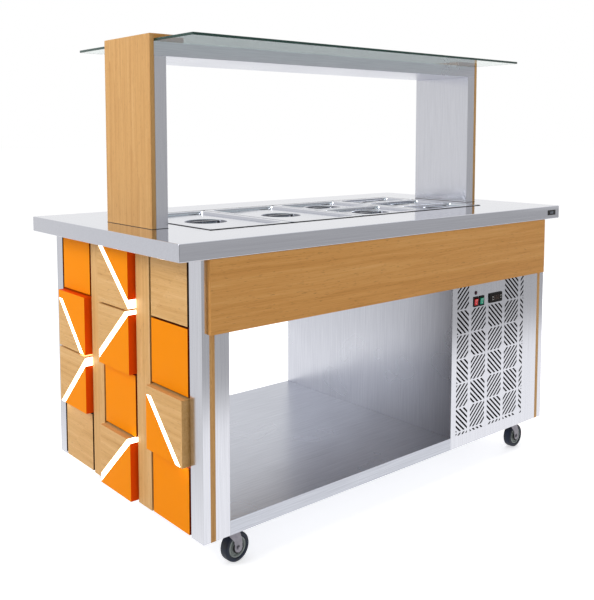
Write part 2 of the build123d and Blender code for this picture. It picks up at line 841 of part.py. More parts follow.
for name, solids in tile_solids.items():
    save(Part(children=solids), name)

# Gantry
board_out = top_length / 2 - post_inset
board_in = board_out - oak_board
post_in = board_in - gantry_post
glass_bottom = top_height + glass_level
glass_top = glass_bottom + glass_sheet
cap_top = glass_top + cap_sheet
beam_bottom = glass_bottom - beam_height
for side, name in ((-1, "left"), (1, "right")):
    with BuildPart() as oak_upright:
        with BuildSketch(Plane.XY.offset(top_height)):
            with Locations((side * (board_out + board_in) / 2, 0)):
                Rectangle(oak_board, gantry_width)
        extrude(amount=cap_top - top_height)
    save(oak_upright.part, f"oak_upright_{name}")
    with BuildPart() as steel_post:
        with BuildSketch(Plane.XY.offset(top_height)):
            with Locations((side * (board_in + post_in) / 2, 0)):
                Rectangle(gantry_post, gantry_width)
                Rectangle(gantry_post - 2 * gantry_wall, gantry_width - 2 * gantry_wall, mode=Mode.SUBTRACT)
        extrude(amount=beam_bottom - top_height)
    save(steel_post.part, f"steel_post_{name}")

with BuildPart() as oak_caps:
    with BuildSketch(Plane.XY.offset(glass_top)):
        with Locations([(side * (board_in - cap_length / 2), 0) for side in end_sides]):
            Rectangle(cap_length, gantry_width)
    extrude(amount=cap_sheet)
save(oak_caps.part, "oak_caps")

with BuildPart() as beam:
    with BuildSketch(Plane.YZ.offset(-board_in)):
        with Locations((0, beam_bottom + beam_height / 2)):
            Rectangle(gantry_width, beam_height)
            Rectangle(gantry_width - 2 * gantry_wall, beam_height - 2 * gantry_wall, mode=Mode.SUBTRACT)
    extrude(amount=2 * board_in)
save(beam.part, "beam")

with BuildPart() as glass_guard:
    with BuildSketch(Plane.XY.offset(glass_bottom)):
        Rectangle(2 * board_in, glass_width)
    extrude(amount=glass_sheet)
    chamfer(glass_guard.edges().filter_by(Axis.X), glass_chamfer)
save(glass_guard.part, "glass_guard")

# Blank plate at the right end of the worktop's front edge
with BuildPart() as badge_plate:
    with BuildSketch(Plane.XZ.offset(top_width / 2)):
        with Locations((top_length / 2 - badge_from_end, top_height - edge_height / 2)):
            RectangleRounded(badge_length, badge_height, badge_corner)
    extrude(amount=badge_sheet)
save(badge_plate.part, "badge_plate")

# Casters: each trails its wheel behind its swivel pin, turned to its own heading
caster_x = body_end - caster_end_inset
caster_y = body_width / 2 - caster_side_inset
caster_places = {"front_left": (-1, -1, 4), "front_right": (1, -1, 3),
                 "back_left": (-1, 1, -12), "back_right": (1, 1, 10)}
plate_bottom = base_height - caster_plate_sheet
race_bottom = plate_bottom - race_height
crown_top = race_bottom - seat_gap
crown_bottom = crown_top - fork_sheet
leg_in = wheel_width / 2 + fork_gap
leg_out = leg_in + fork_sheet
bolt_spacing = caster_plate - 2 * bolt_inset

with BuildPart() as caster_plates:
    for sx, sy, heading in caster_places.values():
        with BuildSketch(Plane.XY.offset(plate_bottom)):
            with Locations((sx * caster_x, sy * caster_y)):
                RectangleRounded(caster_plate, caster_plate, bolt_inset / 2)
        extrude(amount=caster_plate_sheet)
        with BuildSketch(Plane.XY.offset(race_bottom)):
            with Locations((sx * caster_x, sy * caster_y)):
                Circle(race_radius)
        extrude(amount=race_height)
        with BuildSketch(Plane.XY.offset(race_bottom)):
            with Locations((sx * caster_x, sy * caster_y)):
                Circle(pin_radius + running_gap)
        extrude(amount=race_height, mode=Mode.SUBTRACT)
        with BuildSketch(Plane.XY.offset(plate_bottom - bolt_head_height)):
            with Locations((sx * caster_x, sy * caster_y)):
                with GridLocations(bolt_spacing, bolt_spacing, 2, 2):
                    RegularPolygon(bolt_head, 6)
        extrude(amount=bolt_head_height)
save(caster_plates.part, "caster_plates")

for corner, (sx, sy, heading) in caster_places.items():
    swivel = Plane(origin=(sx * caster_x, sy * caster_y, 0)).rotated((0, 0, heading))
    side_view = Plane(origin=swivel.origin, x_dir=swivel.x_dir, z_dir=-swivel.y_dir)
    with BuildPart() as caster_fork:
        with BuildSketch(swivel.offset(crown_bottom)):
            Circle(crown_radius)
            with Locations((leg_back + leg_width / 2, 0)):
                Rectangle(leg_width, 2 * leg_out)
        extrude(amount=fork_sheet)
        with BuildSketch(swivel.offset(crown_top)):
            Circle(pin_radius)
        extrude(amount=pin_length)
        for leg_side in (-1, 1):
            with BuildSketch(side_view.offset(leg_side * (leg_in + leg_out) / 2)):
                Polygon((leg_back, crown_top), (leg_back + leg_width, crown_top),
                        (caster_trail + leg_foot, wheel_radius), (caster_trail - leg_foot, wheel_radius),
                        align=None)
                with Locations((caster_trail, wheel_radius)):
                    Circle(leg_foot)
                with Locations((caster_trail, wheel_radius)):
                    Circle(axle_radius, mode=Mode.SUBTRACT)
            extrude(amount=fork_sheet / 2, both=True)
    fork_solid = caster_fork.part
    with BuildPart() as caster_axle:
        with BuildSketch(side_view.offset(-leg_out)):
            with Locations((caster_trail, wheel_radius)):
                Circle(axle_radius)
        extrude(amount=2 * leg_out)
        for head_side in (-1, 1):
            with BuildSketch(side_view.offset(head_side * leg_out)):
                with Locations((caster_trail, wheel_radius)):
                    RegularPolygon(axle_head, 6)
            extrude(amount=head_side * axle_head_height)
    save(Part(children=[fork_solid, caster_axle.part]), f"caster_fork_{corner}")

    with BuildPart() as hub:
        with BuildSketch(side_view):
            with Locations((caster_trail, wheel_radius)):
                Circle(hub_radius)
        extrude(amount=hub_width / 2, both=True)
        for face_side in (-1, 1):
            with BuildSketch(side_view.offset(face_side * hub_web / 2)):
                with Locations((caster_trail, wheel_radius)):
                    Circle(hub_radius - hub_rim)
                    Circle(hub_boss, mode=Mode.SUBTRACT)
            extrude(amount=face_side * (hub_width - hub_web) / 2, mode=Mode.SUBTRACT)
        with BuildSketch(side_view):
            with Locations((caster_trail, wheel_radius)):
                Circle(axle_radius + running_gap)
        extrude(amount=hub_width / 2, both=True, mode=Mode.SUBTRACT)
    with BuildPart() as tyre:
        with BuildSketch(side_view):
            with Locations((caster_trail, wheel_radius)):
                Circle(wheel_radius)
        extrude(amount=wheel_width / 2, both=True)
        chamfer(tyre.edges().filter_by(GeomType.CIRCLE), tyre_chamfer)
        with BuildSketch(side_view):
            with Locations((caster_trail, wheel_radius)):
                Circle(hub_radius)
        extrude(amount=wheel_width / 2, both=True, mode=Mode.SUBTRACT)
    save(Part(children=[hub.part, tyre.part]), f"caster_wheel_{corner}")
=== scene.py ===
import bpy, math
from mathutils import Matrix, Vector
from mathutils.geometry import tessellate_polygon


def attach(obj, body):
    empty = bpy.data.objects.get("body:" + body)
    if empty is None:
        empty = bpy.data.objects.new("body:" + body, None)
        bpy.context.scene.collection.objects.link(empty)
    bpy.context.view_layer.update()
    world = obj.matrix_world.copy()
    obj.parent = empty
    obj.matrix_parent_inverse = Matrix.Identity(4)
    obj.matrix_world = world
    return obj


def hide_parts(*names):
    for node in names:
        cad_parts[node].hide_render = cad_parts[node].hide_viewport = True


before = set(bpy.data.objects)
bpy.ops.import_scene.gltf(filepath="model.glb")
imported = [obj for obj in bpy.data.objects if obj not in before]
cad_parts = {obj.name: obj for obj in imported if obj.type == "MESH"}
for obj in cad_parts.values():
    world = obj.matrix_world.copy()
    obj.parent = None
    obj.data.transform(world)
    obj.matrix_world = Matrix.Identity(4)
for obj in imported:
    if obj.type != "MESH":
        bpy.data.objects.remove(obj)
for name in ("Cube", "Light", "Camera"):  # Blender's own start-up objects
    if name in bpy.data.objects:
        bpy.data.objects.remove(bpy.data.objects[name])
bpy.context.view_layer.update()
mm = 0.001
metre = 1000  # a pattern that repeats every so many millimetres has the scale metre / millimetres


def linear(code):  # sRGB hex to the linear colour that sockets take
    parts = [int(code[i:i + 2], 16) / 255 for i in (1, 3, 5)]
    return (*[c / 12.92 if c <= 0.04045 else ((c + 0.055) / 1.055) ** 2.4 for c in parts], 1.0)


def connect(node, links):
    for key, source in links.items():
        if isinstance(source, bpy.types.Node):  # a node stands for its first output in use
            source = next(output for output in source.outputs if output.enabled)
        node.id_data.links.new(source, node.inputs[key])


def addNode(tree, kind, settings=None, links=None):
    made = tree.nodes.new("ShaderNode" + kind)
    for key, value in (settings or {}).items():
        if key == "stops":
            stops = made.color_ramp.elements
            stops[0].position, stops[-1].position = value[0][0], value[-1][0]
            stops[0].color, stops[-1].color = linear(value[0][1]), linear(value[-1][1])
            for place, code in value[1:-1]:
                stops.new(place).color = linear(code)
        elif key == "range":
            for socket, number in zip(("From Min", "From Max", "To Min", "To Max"), value):
                made.inputs[socket].default_value = number
        elif hasattr(made, str(key)):
            setattr(made, key, value)
        else:
            made.inputs[key].default_value = value
    connect(made, links or {})
    return made


def newMaterial(name, settings):
    made = bpy.data.materials.new(name)
    made.use_nodes = True
    shader = made.node_tree.nodes["Principled BSDF"]
    for key, value in settings.items():
        shader.inputs[key].default_value = value
    return made, made.node_tree, shader


# Camera at the photograph's viewing point, its lens in pixels of a 594 by 600 image
cameraLook = {"place": (-2.058, -2.318, 1.269), "heading": 40.37, "pitch": 4.55, "focalPixels": 824,
              "imageHeight": 600, "shift": -0.17, "near": 0.05, "far": 200}


def makeCamera(look):
    data = bpy.data.cameras.new("photoCamera")
    camera = bpy.data.objects.new("photoCamera", data)
    bpy.context.scene.collection.objects.link(camera)
    bpy.context.scene.camera = camera
    data.lens = look["focalPixels"] / look["imageHeight"] * data.sensor_width
    data.shift_y = look["shift"]
    data.clip_start, data.clip_end = look["near"], look["far"]
    camera.location = look["place"]
    camera.rotation_euler = (math.radians(90 - look["pitch"]), 0, -math.radians(look["heading"]))


makeCamera(cameraLook)
print("camera done")


# Stainless sheet, ground with a belt along its grain: soft lines, long with the grain and narrow across it
def groundStainless(name, look, grain):
    material, tree, shader = newMaterial(name, {"Metallic": 1.0})
    place = addNode(tree, "TexCoord").outputs["Object"]
    scale = [metre / look["lineLength" if axis == grain else "lineWidth"] for axis in "XYZ"]
    stretched = addNode(tree, "Mapping", {"Scale": scale}, {"Vector": place})
    lines = addNode(tree, "TexNoise", {"Scale": 1.0, "Detail": 3.0, "Roughness": 0.6},
                    {"Vector": stretched})
    wipes = addNode(tree, "TexNoise", {"Scale": metre / look["wipeSize"], "Detail": 2.0}, {"Vector": place})
    tone = addNode(tree, "ValToRGB", {"stops": ((0.25, look["dark"]), (0.75, look["light"]))},
                   {"Fac": lines})
    gloss = addNode(tree, "MapRange", {"range": (0.3, 0.7, look["smooth"], look["rough"])},
                    {"Value": wipes})
    relief = addNode(tree, "Bump", {"Strength": look["relief"], "Distance": look["depth"] * mm},
                     {"Height": lines})
    connect(shader, {"Base Color": tone, "Roughness": gloss, "Normal": relief})
    return material


# Grinding lines are 0.1 to 0.3 mm on the real sheet; they are drawn 2.5 mm wide so that they show at all.
satinLook = {"dark": "#BDC0CA", "light": "#D7DAE3", "lineWidth": 2.5, "lineLength": 160, "wipeSize": 260,
             "smooth": 0.26, "rough": 0.33, "relief": 0.15, "depth": 0.03}
paleSatinLook = {**satinLook, "dark": "#D1D3DD", "light": "#E6E8F0"}
brightSatinLook = {**satinLook, "dark": "#DDDEE6", "light": "#EAEBF2", "smooth": 0.15, "rough": 0.21,
                   "relief": 0.06}
polishedLook = {"dark": "#D9DAE3", "light": "#E4E6EE", "lineWidth": 3, "lineLength": 260, "wipeSize": 320,
                "smooth": 0.07, "rough": 0.13, "relief": 0.12, "depth": 0.02}
lidLook = {"dark": "#D1D3DC", "light": "#E1E3EC", "lineWidth": 2.5, "lineLength": 120, "wipeSize": 180,
           "smooth": 0.09, "rough": 0.16, "relief": 0.12, "depth": 0.02}
# The lid's dish walls: the same pressed steel made darker, as painted shade and dark reflection of the hollow
dishShadeLook = {**lidLook, "dark": "#7E8089", "light": "#94969F"}
# Strap steel of the lid handles and of the pan support bars: stainless drawn dark grey, as painted shade
shadedStrapLook = {"dark": "#6C6E76", "light": "#84868E", "lineWidth": 2.5, "lineLength": 40, "wipeSize": 60,
              "smooth": 0.22, "rough": 0.3, "relief": 0.12, "depth": 0.02}
galvanisedLook = {"dark": "#8F959B", "light": "#B3B8BD", "lineWidth": 14, "lineLength": 30, "wipeSize": 40,
                  "smooth": 0.35, "rough": 0.55, "relief": 0.2, "depth": 0.05}
satinAlongX = groundStainless("satinStainlessAlongX", satinLook, "X")
satinUpright = groundStainless("satinStainlessUpright", satinLook, "Z")
paleAlongX = groundStainless("paleSatinStainlessAlongX", paleSatinLook, "X")
paleUpright = groundStainless("paleSatinStainlessUpright", paleSatinLook, "Z")
brightUpright = groundStainless("brightSatinStainlessUpright", brightSatinLook, "Z")
polishedSteel = groundStainless("polishedStainless", polishedLook, "X")
pressedSteel = groundStainless("pressedStainless", lidLook, "X")
dishWallShadedSteel = groundStainless("pressedStainlessDishWallPaintedShade", dishShadeLook, "X")
shadedStrapSteel = groundStainless("groundStainlessStrapPaintedShade", shadedStrapLook, "X")
galvanisedSteel = groundStainless("galvanisedSheet", galvanisedLook, "X")


# The broad faces of a tile look along X; its edges, square to them, take a colour of their own: an edge band,
# or on the flush tiles painted shade.
def splitEdges(tree, colours, links=None):
    normal = addNode(tree, "NewGeometry").outputs["True Normal"]
    parts = addNode(tree, "SeparateXYZ", {}, {"Vector": normal})
    flat = addNode(tree, "Math", {"operation": "ABSOLUTE"}, {0: parts.outputs["X"]})
    isFace = addNode(tree, "Math", {"operation": "GREATER_THAN", 1: 0.6}, {0: flat})
    return addNode(tree, "Mix", {"data_type": "RGBA", **colours}, {"Factor": isFace, **(links or {})})


# Oiled oak veneer: warm straight grain, slow figure bands, fine fibres and short dark pores.
# Fibres and pores are under 0.5 mm on real oak; they are drawn 2 to 3 mm wide so that they show.
oakLook = {
    "roughness": 0.48, "specular": 0.3, "waveSize": 420, "wave": 12, "islandJump": (3.1, 5.7, 4.3),
    "figureWidth": 15, "figureLength": 900, "fibreWidth": 2.4, "fibreLength": 150, "fibreShare": 0.45,
    "poreWidth": 2, "poreLength": 24, "poreTone": "#95632F", "poreFrom": 0.64, "poreFull": 0.74,
    "poreDepth": 0.5, "relief": 0.25, "depth": 0.15,
    "tones": ((0.30, "#BA854A"), (0.46, "#CD9B5C"), (0.58, "#D4A466"), (0.72, "#DDB278"))}
fasciaTones = ((0.30, "#C88A44"), (0.46, "#D89A50"), (0.58, "#DEA25A"), (0.72, "#E6AF6A"))
tileTones = ((0.30, "#C59352"), (0.46, "#D3A464"), (0.58, "#DAAD70"), (0.72, "#E2B980"))


def oiledOak(name, look, grain):
    material, tree, shader = newMaterial(name, {"Roughness": look["roughness"], "IOR": 1.5,
                                                "Specular IOR Level": look["specular"]})
    place = addNode(tree, "TexCoord").outputs["Object"]
    island = addNode(tree, "NewGeometry").outputs["Random Per Island"]
    jump = addNode(tree, "VectorMath", {"operation": "SCALE", 0: look["islandJump"]}, {"Scale": island})
    start = addNode(tree, "VectorMath", {"operation": "ADD"}, {0: place, 1: jump})
    bend = addNode(tree, "TexNoise", {"Scale": metre / look["waveSize"], "Detail": 1.0}, {"Vector": start})
    centred = addNode(tree, "VectorMath", {"operation": "SUBTRACT", 1: (0.5, 0.5, 0.5)},
                      {0: bend.outputs["Color"]})
    sway = addNode(tree, "VectorMath", {"operation": "SCALE", "Scale": look["wave"] * mm}, {0: centred})
    wavy = addNode(tree, "VectorMath", {"operation": "ADD"}, {0: start, 1: sway})
    layers = {}
    for layer, detail in (("figure", 2.0), ("fibre", 3.0), ("pore", 1.0)):
        scale = [metre / look[layer + ("Length" if axis == grain else "Width")] for axis in "XYZ"]
        stretched = addNode(tree, "Mapping", {"Scale": scale}, {"Vector": wavy})
        layers[layer] = addNode(tree, "TexNoise", {"Scale": 1.0, "Detail": detail, "Roughness": 0.55},
                                {"Vector": stretched})
    blend = addNode(tree, "Mix", {"data_type": "FLOAT", "Factor": look["fibreShare"]},
                    {"A": layers["figure"], "B": layers["fibre"]})
    tone = addNode(tree, "ValToRGB", {"stops": look["tones"]}, {"Fac": blend})
    gate = addNode(tree, "MapRange",
                   {"range": (look["poreFrom"], look["poreFull"], 0.0, look["poreDepth"])},
                   {"Value": layers["pore"]})
    colour = addNode(tree, "Mix", {"data_type": "RGBA", "B": linear(look["poreTone"])},
                     {"Factor": gate, "A": tone})
    if "edge" in look:
        colour = splitEdges(tree, {"A": linear(look["edge"])}, {"B": colour})
    relief = addNode(tree, "Bump", {"Strength": look["relief"], "Distance": look["depth"] * mm},
                     {"Height": layers["fibre"]})
    connect(shader, {"Base Color": colour, "Normal": relief})
    return material


tileLook = {**oakLook, "tones": tileTones}
oakUpright = oiledOak("oiledOakUpright", oakLook, "Z")
oakAlongX = oiledOak("oiledOakAlongX", {**oakLook, "tones": fasciaTones}, "X")
oakStrip = oiledOak("oiledOakStrip", tileLook, "Z")
oakBlock = oiledOak("oiledOakBlock", tileLook, "Y")
oakTileShadedEdges = oiledOak("oiledOakTileShadedEdges", {**tileLook, "edge": "#3A1C0E"}, "Y")  # edges painted dark brown as the shade in the joints

# Orange melamine laminate, pressed: even colour, faint orange peel; its edge band is a deeper red orange,
# drawn brighter than it is as a painted glow from the light bars beside it.
laminateLook = {"face": "#F58E00", "edge": "#F25204", "roughness": 0.5, "specular": 0.05, "peel": 4,
                "relief": 0.08, "depth": 0.05}


def pressedLaminate(name, look):
    material, tree, shader = newMaterial(name, {"Roughness": look["roughness"], "IOR": 1.5,
                                                "Specular IOR Level": look["specular"]})
    place = addNode(tree, "TexCoord").outputs["Object"]
    colour = splitEdges(tree, {"A": linear(look["edge"]), "B": linear(look["face"])})
    peel = addNode(tree, "TexNoise", {"Scale": metre / look["peel"], "Detail": 2.0}, {"Vector": place})
    relief = addNode(tree, "Bump", {"Strength": look["relief"], "Distance": look["depth"] * mm},
                     {"Height": peel})
    connect(shader, {"Base Color": colour, "Normal": relief})
    return material


orangeBlock = pressedLaminate("orangeLaminateBlock", laminateLook)
# The flush tiles' edges are a dark red: painted shade in the joints between the tiles
orangeTileShadedEdges = pressedLaminate("orangeLaminateTileShadedEdges", {**laminateLook, "edge": "#7A2204"})

# A moulded, cast or painted finish of one colour: a slow drift between two close tones in patches, and a
# grit in its surface. What a finish doesn't say is as here.
plainLook = {"metallic": 0.0, "specular": 0.5, "relief": 0.1, "depth": 0.05, "glow": ("#FFFFFF", 0.0)}


def evenFinish(name, look):
    look = {**plainLook, **look}
    (dark, light), (smooth, rough), (glowTone, glow) = look["tones"], look["roughness"], look["glow"]
    material, tree, shader = newMaterial(name, {
        "Metallic": look["metallic"], "Specular IOR Level": look["specular"],
        "Emission Color": linear(glowTone), "Emission Strength": glow})
    place = addNode(tree, "TexCoord").outputs["Object"]
    drift = addNode(tree, "TexNoise", {"Scale": metre / look["patch"], "Detail": 4.0}, {"Vector": place})
    grit = addNode(tree, "TexNoise", {"Scale": metre / look["grit"], "Detail": 2.0}, {"Vector": place})
    tone = addNode(tree, "ValToRGB", {"stops": ((0.35, dark), (0.65, light))}, {"Fac": drift})
    gloss = addNode(tree, "MapRange", {"range": (0.35, 0.65, smooth, rough)}, {"Value": drift})
    relief = addNode(tree, "Bump", {"Strength": look["relief"], "Distance": look["depth"] * mm},
                     {"Height": grit})
    connect(shader, {"Base Color": tone, "Roughness": gloss, "Normal": relief})
    return material


# Fibreboard behind the tiles: a dark red brown, painted as the shade of the joints it shows through
jointShadeBoard = evenFinish("fibreboardPaintedShade", {
    "tones": ("#2E0D08", "#3C120B"), "roughness": (0.6, 0.75), "patch": 60, "grit": 2})
# Moulded ABS of the switch frames, bezel and gland: black, fine spark-eroded grain
blackAbs = evenFinish("mouldedBlackAbs", {
    "tones": ("#0C0C0E", "#131316"), "roughness": (0.38, 0.5), "patch": 30, "grit": 1.2, "relief": 0.2,
    "specular": 0.2})
# Membrane over the controller's face: smoother than its bezel, black with a brown cast
controllerFilm = evenFinish("polyesterFilm", {
    "tones": ("#120E0D", "#1A1413"), "roughness": (0.2, 0.28), "patch": 25, "grit": 1, "specular": 0.15})
# Anodised aluminium of the plate and its inlay: fine and matt
blackAnodised = evenFinish("blackAnodisedAluminium", {
    "tones": ("#0E0F12", "#17181C"), "roughness": (0.35, 0.45), "patch": 20, "grit": 0.8})
greyAnodised = evenFinish("greyAnodisedAluminium", {
    "tones": ("#5F656E", "#727983"), "roughness": (0.35, 0.5), "patch": 12, "grit": 0.8})
# Solid rubber tyre: near black with a blue cast where the tread is scuffed
tyreRubber = evenFinish("solidRubber", {
    "tones": ("#0A111E", "#19263D"), "roughness": (0.5, 0.72), "patch": 18, "grit": 1.5, "relief": 0.3,
    "depth": 0.1})
# Moulded polypropylene hub: light grey, slightly waxy
hubPlastic = evenFinish("mouldedPolypropylene", {
    "tones": ("#9CA5A2", "#B4BBB8"), "roughness": (0.4, 0.52), "patch": 20, "grit": 1.5})
# Pressed steel under passivated zinc: dull mauve grey
passivatedZinc = evenFinish("passivatedZinc", {
    "tones": ("#8A8790", "#A19EA6"), "roughness": (0.36, 0.5), "patch": 16, "grit": 1, "metallic": 0.75})
# Bright zinc of bolts, screws and the lever: pale, with tiny scuffs
brightZinc = evenFinish("brightZincFasteners", {
    "tones": ("#B4B5B8", "#CDCED2"), "roughness": (0.25, 0.4), "patch": 8, "grit": 0.8, "metallic": 1.0})
# Cast brass of the drain, tumbled, with a little tarnish
castBrass = evenFinish("castBrass", {
    "tones": ("#9C7436", "#C79B55"), "roughness": (0.28, 0.42), "patch": 22, "grit": 1.2, "metallic": 1.0,
    "relief": 0.25})
# Dipped vinyl sleeve on the drain lever: soft red, half gloss
redVinyl = evenFinish("dippedRedVinyl", {
    "tones": ("#A3160F", "#B81E15"), "roughness": (0.35, 0.45), "patch": 20, "grit": 2})
# Nickel alloy sheath of the heating element, browned by heat
elementSheath = evenFinish("oxidisedSheath", {
    "tones": ("#3A3431", "#564E49"), "roughness": (0.4, 0.55), "patch": 30, "grit": 1, "metallic": 0.9})
# Aluminium foil over mineral wool, crinkled by hand
insulationFoil = evenFinish("crinkledFoil", {
    "tones": ("#A9ABAF", "#C6C8CC"), "roughness": (0.25, 0.4), "patch": 60, "grit": 18, "metallic": 1.0,
    "relief": 0.8, "depth": 1.5})
# Rocker caps and signal lens: tinted polycarbonate, smooth; the caps are lit from behind by a neon
lensLook = {"roughness": (0.12, 0.2), "patch": 6, "grit": 2}
redLens = evenFinish("redPolycarbonate", {
    **lensLook, "tones": ("#C4141C", "#DC242C"), "glow": ("#F0282C", 0.12)})
greenLens = evenFinish("greenPolycarbonate", {
    **lensLook, "tones": ("#088A6C", "#109A7A"), "glow": ("#10A884", 0.12)})
unlitLens = evenFinish("unlitPolycarbonate", {**lensLook, "tones": ("#3E0A2A", "#541036")})
# Printed marks on the controls: off white ink, and the brown of digits behind a dark window
whiteInk = evenFinish("whiteInk", {
    "tones": ("#D8D8D4", "#E6E6E2"), "roughness": (0.4, 0.5), "patch": 10, "grit": 1})
displaySegments = evenFinish("displaySegments", {
    "tones": ("#5E463C", "#6C5246"), "roughness": (0.3, 0.4), "patch": 10, "grit": 1})
# Opal acrylic diffuser over a warm white strip of lights
opalAcrylic = evenFinish("opalAcrylic", {
    "tones": ("#FFF9EE", "#FFFDF8"), "roughness": (0.3, 0.35), "patch": 40, "grit": 3,
    "glow": ("#FFF0D2", 4.5)})
# Black silicone seal: cured rubber, dull. The same black also paints the shade in the gaps round the well and
# the gantry's feet
blackSiliconeAndGapShade = evenFinish("blackSiliconeAndGapShade", {
    "tones": ("#08090B", "#101114"), "roughness": (0.5, 0.6), "patch": 30, "grit": 2})

# Toughened float glass: clear through the face, dark green through its ground edge, dust in streaks
glassLook = {"ior": 1.52, "streak": 400, "dust": 0.05,
             "face": {"colour": "#D6E5E0", "roughness": 0.0, "clear": 1.0},
             "edge": {"colour": "#1E4A40", "roughness": 0.2, "clear": 0.35}}


def toughenedGlass(name, look, part):
    material, tree, shader = newMaterial(name, {"Base Color": linear(part["colour"]), "IOR": look["ior"],
                                                "Transmission Weight": part["clear"]})
    place = addNode(tree, "TexCoord").outputs["Object"]
    dust = addNode(tree, "TexNoise", {"Scale": metre / look["streak"], "Detail": 5.0}, {"Vector": place})
    gloss = addNode(tree, "MapRange",
                    {"range": (0.45, 0.8, part["roughness"], part["roughness"] + look["dust"])},
                    {"Value": dust})
    connect(shader, {"Roughness": gloss})
    return material


glassFace = toughenedGlass("toughenedGlassFace", glassLook, glassLook["face"])
glassEdge = toughenedGlass("groundGlassEdge", glassLook, glassLook["edge"])
print("materials done")


# A shape is gathered in millimetres as points, faces and the number of the material on each face.
def newShape():
    return {"points": [], "faces": [], "tones": []}


def addFaces(shape, points, faces, tone=0):
    start = len(shape["points"])
    shape["points"] += [Vector(p) for p in points]
    shape["faces"] += [tuple(start + i for i in face) for face in faces]
    shape["tones"] += [tone] * len(faces)
    return start


# Skin over a row of rings. Ends: open, first, last or both closed by a face, or joined to each other
def addLoft(shape, rings, tone=0, ends="open", openLoops=False):
    n, count = len(rings[0]), len(rings)
    faces = []
    for r in range(count if ends == "joined" else count - 1):
        s = (r + 1) % count
        for i in range(n - 1 if openLoops else n):
            j = (i + 1) % n
            faces.append((r * n + i, r * n + j, s * n + j, s * n + i))
    if ends in ("first", "both"):
        faces.append(tuple(range(n - 1, -1, -1)))
    if ends in ("last", "both"):
        faces.append(tuple(range((count - 1) * n, count * n)))
    return addFaces(shape, [p for ring in rings for p in ring], faces, tone)


# Fills the flat area inside the first loop and outside the others, facing up or down
def addFill(shape, loops, up=True):
    order = [i for loop in loops for i in loop]
    for corners in tessellate_polygon([[shape["points"][i] for i in loop] for loop in loops]):
        face = [order[i] for i in corners]
        p, q, r = (shape["points"][i] for i in face)
        if ((q - p).cross(r - p).z < 0) == up:
            face.reverse()
        shape["faces"].append(tuple(face))
        shape["tones"].append(0)


def roundedLoop(halfX, halfY, radius, z, centre=(0, 0), steps=5):
    points = []
    for k, (sx, sy) in enumerate(((1, 1), (-1, 1), (-1, -1), (1, -1))):
        for i in range(steps + 1):
            a = math.pi / 2 * (k + i / steps)
            points.append(Vector((centre[0] + sx * (halfX - radius) + radius * math.cos(a),
                                  centre[1] + sy * (halfY - radius) + radius * math.sin(a), z)))
    return points


def circleLoop(radius, z, centre=(0, 0), steps=48):
    angles = [2 * math.pi * i / steps for i in range(steps)]
    return [Vector((centre[0] + radius * math.cos(a), centre[1] + radius * math.sin(a), z)) for a in angles]


# Rounded outlines stacked along local Z, from rows of (half width, half height, corner radius, level)
def addMoulding(shape, rows, centre=(0, 0), steps=5, tone=0, ends="open"):
    return addLoft(shape, [roundedLoop(*row, centre, steps) for row in rows], tone, ends)


# A turned piece about the local Z axis, from a profile of (radius, level)
def addTurned(shape, profile, tone=0, steps=48, matrix=Matrix(), ends="both"):
    addLoft(shape, [[matrix @ p for p in circleLoop(r, z, steps=steps)] for r, z in profile], tone, ends)


# Hexagon head or nut along local Z, with its corners turned off
def addHex(shape, size, tone=0, matrix=Matrix()):
    radius, low, high, chamfer = size
    profile = ((radius - chamfer, low), (radius, low + chamfer),
               (radius, high - chamfer), (radius - chamfer, high))
    addTurned(shape, profile, tone, steps=6, matrix=matrix)


def shifted(x, y, z):
    return Matrix.Translation((x, y, z))


# A polyline with its corners rounded to one radius
def roundedPath(corners, radius, steps=5):
    corners = [Vector(c) for c in corners]
    path = [corners[0]]
    for before, here, after in zip(corners, corners[1:], corners[2:]):
        u, v = (before - here).normalized(), (after - here).normalized()
        half = u.angle(v) / 2
        cut = radius / math.tan(half)
        centre = here + (u + v).normalized() * (radius / math.sin(half))
        a, b = here + u * cut - centre, here + v * cut - centre
        path += [centre + a.slerp(b, i / steps) for i in range(steps + 1)]
    return path + [corners[-1]]


# A flat strap along a path in a plane that holds the local Y axis across its width
def addStrap(shape, path, width, thickness):
    side = Vector((0, 1, 0))
    loop = roundedLoop(width / 2, thickness / 2, 0.35 * thickness, 0, steps=3)
    rings = []
    for i, p in enumerate(path):
        along = (path[min(i + 1, len(path) - 1)] - path[max(i - 1, 0)]).normalized()
        up = along.cross(side)
        rings.append([p + side * q.x + up * q.y for q in loop])
    addLoft(shape, rings, ends="both")


def roundEdges(piece, width):
    bevel = piece.modifiers.new("edges", "BEVEL")
    bevel.width, bevel.segments = width * mm, 2
    bevel.limit_method, bevel.angle_limit = "ANGLE", math.radians(32)
    bevel.harden_normals = True


# Sheet gives a skin its thickness, inwards unless offset differs; edges past the sharp angle stay crisp.
def makePiece(name, shape, materials, body="counter", stands=(), matrix=Matrix(), sheet=0, offset=-1,
              edge=0, sharp=34):
    mesh = bpy.data.meshes.new(name)
    mesh.from_pydata([matrix @ p * mm for p in shape["points"]], [], shape["faces"])
    for material in materials:
        mesh.materials.append(material)
    for polygon, tone in zip(mesh.polygons, shape["tones"]):
        polygon.material_index = tone
    mesh.shade_smooth()
    mesh.set_sharp_from_angle(angle=math.radians(sharp))
    piece = bpy.data.objects.new(name, mesh)
    bpy.context.scene.collection.objects.link(piece)
    if sheet:
        solid = piece.modifiers.new("sheet", "SOLIDIFY")
        solid.thickness, solid.offset = sheet * mm, offset
    if edge:
        roundEdges(piece, edge)
    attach(piece, body)
    if stands:
        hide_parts(*stands)


# A CAD piece keeps its shape and gets its real finish and its small edge radius.
def dressNode(node, material, edge):
    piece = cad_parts[node]
    for place in piece.material_slots:
        place.material = material
    if edge:
        weld = piece.modifiers.new("joined", "WELD")
        weld.merge_threshold = 0.01 * mm
        roundEdges(piece, edge)


